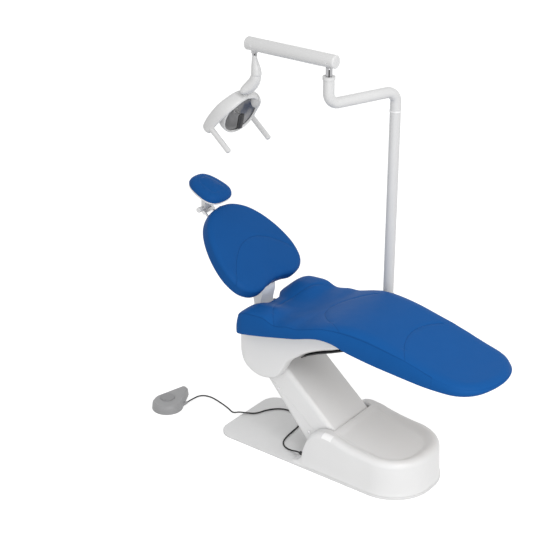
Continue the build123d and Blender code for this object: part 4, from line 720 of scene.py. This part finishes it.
BACK_SIDE = [(0, -178), (62, -185), (124, -197), (180, -187), (225, -149), (247, -80), (245, -10), (225, 71),
             (186, 153), (138, 210), (71, 249), (0, 261)]
HEAD_SIDE = [(0, -101), (36, -98), (58, -91), (73, -78), (83, -60), (87, -37), (85, 0), (78, 37), (70, 60),
             (58, 78), (44, 91), (27, 98), (0, 101)]
BACK_ARCH = (50, 0.0029)
HEAD_MIDDLE, HEAD_SLOPE, HEAD_THICKNESS = (748, 1181), 20, 50
pad_vinyl = vinyl("upholstery_pads", (0.0078, 0.077, 0.268), [("cross_seams", 0)])
pad("back_pad", pad_outline(BACK_SIDE, 180), spine=(-60, 110), origin=(500, 915), slope=40, thickness=70,
    wall=6, roll=34, crown=7, arch=BACK_ARCH, material=pad_vinyl, body="backrest", node="back_cushion")
head_outline = pad_outline(HEAD_SIDE, 110)
pad("head_pad", head_outline, spine=(-25, 25), origin=HEAD_MIDDLE, slope=HEAD_SLOPE, thickness=HEAD_THICKNESS,
    wall=-14, roll=42, crown=10, arch=None, material=pad_vinyl, body="headrest", node="headrest_cushion")

# The headrest's pad sits in a thin moulded rim.
head_up, head_ahead = plane_axes(HEAD_SLOPE)
rim_rings = []
RIM_PROFILE = [(0.3, -34), (0.9, -34), (0.97, -33), (0.995, -30), (1.0, -26), (0.99, -24), (0.3, -24)]
for scale, depth in RIM_PROFILE:
    plan = head_outline * scale
    rim_rings.append(np.array([0, *HEAD_MIDDLE]) + plan[:, :1] * np.array([1, 0, 0]) + plan[:, 1:] * head_up
                     + depth * head_ahead)
piece("head_rim", np.array(rim_rings) * MM, quads(len(rim_rings), len(rim_rings[0]), wrap=True), "headrest",
      "white_shell", white_shell)

# ---------------------------------------------------------------- lamp
# The lamp's moulded plastic skins: a neck that swells towards its hinge, a saddle that
# flows from the neck over the bowl into a wing on each side, and the bowl with
# its narrow lip. Points are across, up and forward of the reflector's centre.
# The lamp's white plastic is a darker copy of white_shell: painted shade that evens out the fuller light on
# the lamp and its handles.
lamp_shell_painted_shade = finish("lamp_shell_painted_shade", (0.62, 0.62, 0.62), 0.38, 900, 0.00008, drift=0.015)
black_plastic = finish("black_plastic", (0.018, 0.018, 0.019), 0.45, 1100, 0.00010, drift=0.15)
# This grey is painted shadow for the right wing's inner face.
wing_shadow_grey = finish("wing_shadow_grey", (0.44, 0.44, 0.44), 0.4, 900, 0.00006, drift=0.02)
LAMP_CENTRE = np.array([14.0, 578.0, 1575.0])
LAMP_YAW, LAMP_DIP = radians(-8), radians(23.7)
ACROSS = np.array([cos(LAMP_YAW), sin(LAMP_YAW), 0])
BEAM = np.array([sin(LAMP_YAW) * cos(LAMP_DIP), -cos(LAMP_YAW) * cos(LAMP_DIP), -sin(LAMP_DIP)])
LAMP_AXES = np.stack([ACROSS, np.cross(BEAM, ACROSS), BEAM])


def from_lamp(points):
    """Points in the lamp's own frame, in the chair's frame."""
    return LAMP_CENTRE + np.asarray(points, dtype=float) @ LAMP_AXES


def tube(stations, wide, ends=(1.0, 1.0), steps=72):
    """A round-ended bar through (x, y, z, half width, half thickness) stations.

    Its cross-section is an ellipse with its width along wide. Each end closes as
    part of an ellipse, over a length of ends times the bar's mean half size.
    """
    along = spline_through(stations, steps)
    centre, half = along[:, :3], along[:, 3:]
    ahead = np.gradient(centre, axis=0)
    ahead = ahead / np.linalg.norm(ahead, axis=1)[:, None]
    side = np.asarray(wide) - ahead * (ahead @ np.asarray(wide))[:, None]
    side = side / np.linalg.norm(side, axis=1)[:, None]
    other = np.cross(ahead, side)
    run = np.concatenate([[0], np.cumsum(np.linalg.norm(np.diff(centre, axis=0), axis=1))])
    close = [np.clip(1 - from_end / (length * half.mean(axis=1)), 0, 1)
             for from_end, length in ((run, ends[0]), (run[-1] - run, ends[1]))]
    taper = np.sqrt(1 - np.maximum(*close) ** 2)
    angle = np.linspace(0, 2 * pi, 49)[:-1]
    rings = (centre[:, None] + side[:, None] * (half[:, 0] * taper)[:, None, None] * np.cos(angle)[:, None]
             + other[:, None] * (half[:, 1] * taper)[:, None, None] * np.sin(angle)[:, None])
    return rings


def blended(name, bars, voxel, rounds, body, slot, material, *replaced):
    """One soft skin over several bars."""
    points = np.concatenate([bar.reshape(-1, 3) for bar in bars]) * MM
    faces, first = [], 0
    for bar in bars:
        faces.append(quads(len(bar), bar.shape[1], wrap=True) + first)
        first += bar.shape[0] * bar.shape[1]
    obj = piece(name, points, np.concatenate(faces), body, slot, material, *replaced)
    skin = obj.modifiers.new("skin", "REMESH")
    skin.mode = "VOXEL"
    skin.voxel_size = voxel
    skin.use_smooth_shade = True
    soft = obj.modifiers.new("soft", "SMOOTH")
    soft.factor = 0.8
    soft.iterations = rounds
    return obj


neck = tube([(0, 478, 1872, 10, 10), (0, 477, 1850, 13.5, 13.5), (0, 473, 1826, 19, 19),
             (0, 469, 1804, 23, 23), (0, 468, 1790, 24, 24), (0, 468, 1766, 24, 24)], (1, 0, 0), (0.02, 1))
blended("neck_skin", [neck], 0.0022, 3, "lamp_neck", "white_shell", lamp_shell_painted_shade, "lamp_neck")
saddle_neck = tube([(0, 468, 1796, 20, 20), (0, 470, 1778, 24, 24), (-1, 476, 1757, 27, 26),
                    (-4, 490, 1734, 31, 28), (-8, 514, 1710, 40, 25), (-12, 538, 1690, 46, 18)],
                   (1, 0, 0), (0.6, 0.9))
HOOD = np.array([(0, 106, -8, 32, 14), (-36, 100, -7, 34, 14), (-74, 76, -9, 36, 16),
                 (-100, 42, -18, 36, 17), (-114, 0, -30, 34, 18), (-124, -48, -42, 31, 17),
                 (-129, -106, -51, 28, 15)], dtype=float)
wings = []
for side in (1, -1):
    middle = from_lamp(HOOD[:, :3] * (side, 1, 1))
    wings.append(tube(np.column_stack([middle, HOOD[:, 3:]]), BEAM, (0.05, 0.9)))
blended("saddle", [saddle_neck, *wings], 0.0025, 22, "lamp_head", "white_shell", lamp_shell_painted_shade, "lamp_housing")


def turned(name, profile, body, slot, material, *replaced):
    """A profile of (radius, forward) points turned about the beam."""
    profile = np.array(profile, dtype=float)
    angle = np.linspace(0, 2 * pi, 97)[:-1]
    local = np.stack([profile[:, :1] * np.cos(angle), profile[:, :1] * np.sin(angle),
                      np.repeat(profile[:, 1:], len(angle), axis=1)], axis=-1)
    return piece(name, from_lamp(local) * MM, quads(len(profile), len(angle), wrap=True), body, slot,
                 material, *replaced)


BOWL = spline_through([(0, -70), (50, -66), (78, -56), (94, -40), (100.5, -22), (101.5, 0), (100.5, 8)], 40)
LIP = spline_through([(100.5, 8), (99.5, 12), (97, 13.5), (94, 12), (92, 8), (91, 5), (94, 3)], 24)
turned("bowl_skin", np.concatenate([BOWL, LIP[1:]]), "lamp_head", "white_shell", lamp_shell_painted_shade, "lamp_bowl")


def bar(name, stations, wide, ends, body, slot, material, *replaced):
    """A round-ended bar as a piece of its own."""
    rings = tube(stations, wide, ends)
    piece(name, rings * MM, quads(len(rings), rings.shape[1], wrap=True), body, slot, material, *replaced)


# Away from the light post towards the foot end, and the level direction across that.
OUTWARD, BESIDE = np.array([-0.79, -0.61, 0]), np.array([0.61, -0.79, 0])
shield_middle = from_lamp([(6, 4, 9), (6, -30, 15), (6, -72, 22)])
bar("shield", np.column_stack([shield_middle, [(17, 8), (17, 9), (17, 8)]]), ACROSS, (0.9, 0.2),
    "lamp_head", "black_plastic", black_plastic, "bulb_shield")
# The grey oval on the lamp's right side is painted shadow: it stands for the shaded inner face of the right
# wing.
wing_shadow_middle = from_lamp([56, 74, 17])
bar("wing_shadow_oval", [(*(wing_shadow_middle + np.array([0, 0, lift])), 19, 7) for lift in (-36, -12, 12, 36)], BESIDE,
    (1.9, 1.9), "lamp_head", "bracket_grey", wing_shadow_grey, "housing_caps")
screw_middle = np.array([0, 469, 1786]) + ACROSS * np.array([[16], [22], [27]])
bar("hinge_screw", np.column_stack([screw_middle, [[8, 8]] * 3]), (0, 0, 1), (0.02, 0.5),
    "lamp_head", "black_plastic", black_plastic, "lamp_screw")

# Each chrome knuckle has a dark strip on that outward side.
for name, body, y, radius, low, high in (("riser_slit", "arm_knuckle", 72, 15, 1849, 1886),
                                         ("end_slit", "end_knuckle", 478, 12, 1873, 1888)):
    middle = OUTWARD[:2] * radius + np.array([0, y])
    bar(name, [(*middle, height, 3.2, 0.8) for height in np.linspace(low, high, 4)], BESIDE, (0.1, 0.1),
        body, "black_plastic", black_plastic)

# A plain bright patch lies on the base cover's shoulder.
patch_white = finish("patch_white", (0.92, 0.92, 0.92), 0.4, 900, 0.00004, drift=0.01)
PATCH_REAR, PATCH_FRONT, PATCH_LOW, PATCH_HIGH = -72.0, -124.0, 10.0, 34.0
PATCH_SLANT, PATCH_POINTS = 0.25, 12
patch_y, patch_depth = np.meshgrid(np.linspace(PATCH_REAR, PATCH_FRONT, PATCH_POINTS),
                                   np.linspace(PATCH_LOW, PATCH_HIGH, PATCH_POINTS))
patch_y = patch_y - PATCH_SLANT * (patch_depth - PATCH_LOW)
patch_height = cover_height(patch_y, patch_depth) + 0.7
patch_top = np.stack([patch_depth - COVER_HALF - 0.5, patch_y, patch_height], axis=-1)
patch_under = patch_top + np.array([1.5, 0, -1.5])
patch_points = np.concatenate([patch_top, patch_under[::-1]])
piece("cover_patch", patch_points * MM, quads(2 * PATCH_POINTS, PATCH_POINTS), "root", "white_shell",
      patch_white, "blank_plate")

# ---------------------------------------------------------------- rigid pieces kept as modelled
# The remaining pieces keep their modelled shape; their edges are broken by a
# small bevel and each gets its own finish.
# white_paint is set darker than white_shell: painted shade that evens out the fuller light on the exposed
# arms and post.
white_paint = finish("white_paint", (0.62, 0.62, 0.62), 0.38, 420, 0.00010, drift=0.015)
plate_paint = finish("plate_paint", (0.70, 0.70, 0.70), 0.42, 420, 0.00012, drift=0.03)
frame_paint = finish("frame_paint", (0.07, 0.07, 0.072), 0.5, 420, 0.00015, drift=0.12)
bracket_grey = finish("bracket_grey", (0.80, 0.80, 0.80), 0.4, 420, 0.00012, drift=0.03)
bright_steel = finish("bright_steel", (0.62, 0.62, 0.63), 0.24, 300, 0.00004, stretch=(1, 1, 14),
                      Metallic=1.0)
chrome = finish("chrome", (0.42, 0.42, 0.43), 0.12, 200, 0.00001, Metallic=1.0)
# The foot button gets a darker copy of the pedal's grey: painted shade that stands in for the shadow crescent
# round it.
button_painted_shade = finish("button_painted_shade", (0.25, 0.25, 0.255), 0.45, 1100, 0.00012, drift=0.04)
pedal_grey = finish("pedal_grey", (0.31, 0.31, 0.315), 0.45, 1100, 0.00012, drift=0.04)
reflector_metal = finish("reflector_metal", (0.22, 0.22, 0.225), 0.3, 160, 0.00025, drift=0.08, Metallic=0.6)
bulb_glass = finish("bulb_glass", (0.30, 0.30, 0.30), 0.15, 100, 0.00001, Coat_Weight=0.6)
bronze = finish("bronze", (0.55, 0.38, 0.18), 0.3, 300, 0.00005, Metallic=1.0)
plywood = finish("plywood", (0.45, 0.32, 0.19), 0.6, 120, 0.0003, drift=0.15, stretch=(1, 8, 1))
motor_paint = finish("motor_paint", (0.10, 0.11, 0.12), 0.45, 420, 0.00015, drift=0.1)
FINISHES = {
    "white_shell": white_shell, "white_paint": white_paint, "plate_paint": plate_paint,
    "frame_paint": frame_paint, "bracket_grey": bracket_grey, "bright_steel": bright_steel,
    "chrome": chrome, "black_plastic": black_plastic, "pedal_grey": pedal_grey,
    "reflector_metal": reflector_metal, "bulb_glass": bulb_glass, "cord_rubber": cord_rubber,
    "bronze": bronze, "plywood": plywood, "motor_paint": motor_paint,
}
EDGE_WIDTH = 0.0008
EDGE_WIDTHS = {"foot_housing": 0.004, "foot_button": 0.002}
for subpart in frame["record"]["subparts"]:
    obj = nodes[subpart["node"]]
    if obj.hide_render:
        continue
    material = FINISHES[subpart["material_slot"]]
    if subpart["node"].startswith("handle"):
        material = lamp_shell_painted_shade
    if subpart["node"] == "foot_button":
        material = button_painted_shade
    obj.data.materials.clear()
    obj.data.materials.append(material)
    obj.data.polygons.foreach_set("material_index", np.zeros(len(obj.data.polygons), dtype=int))
    if "custom_normal" in obj.data.attributes:
        obj.data.attributes.remove(obj.data.attributes["custom_normal"])
    obj.data.polygons.foreach_set("use_smooth", np.ones(len(obj.data.polygons), dtype=bool))
    weld = obj.modifiers.new("weld", "WELD")
    weld.merge_threshold = 0.00001
    bevel = obj.modifiers.new("edges", "BEVEL")
    bevel.width = EDGE_WIDTHS.get(subpart["node"], EDGE_WIDTH)
    bevel.segments = 2
    bevel.limit_method = "ANGLE"
    bevel.angle_limit = radians(35)
    bevel.harden_normals = True
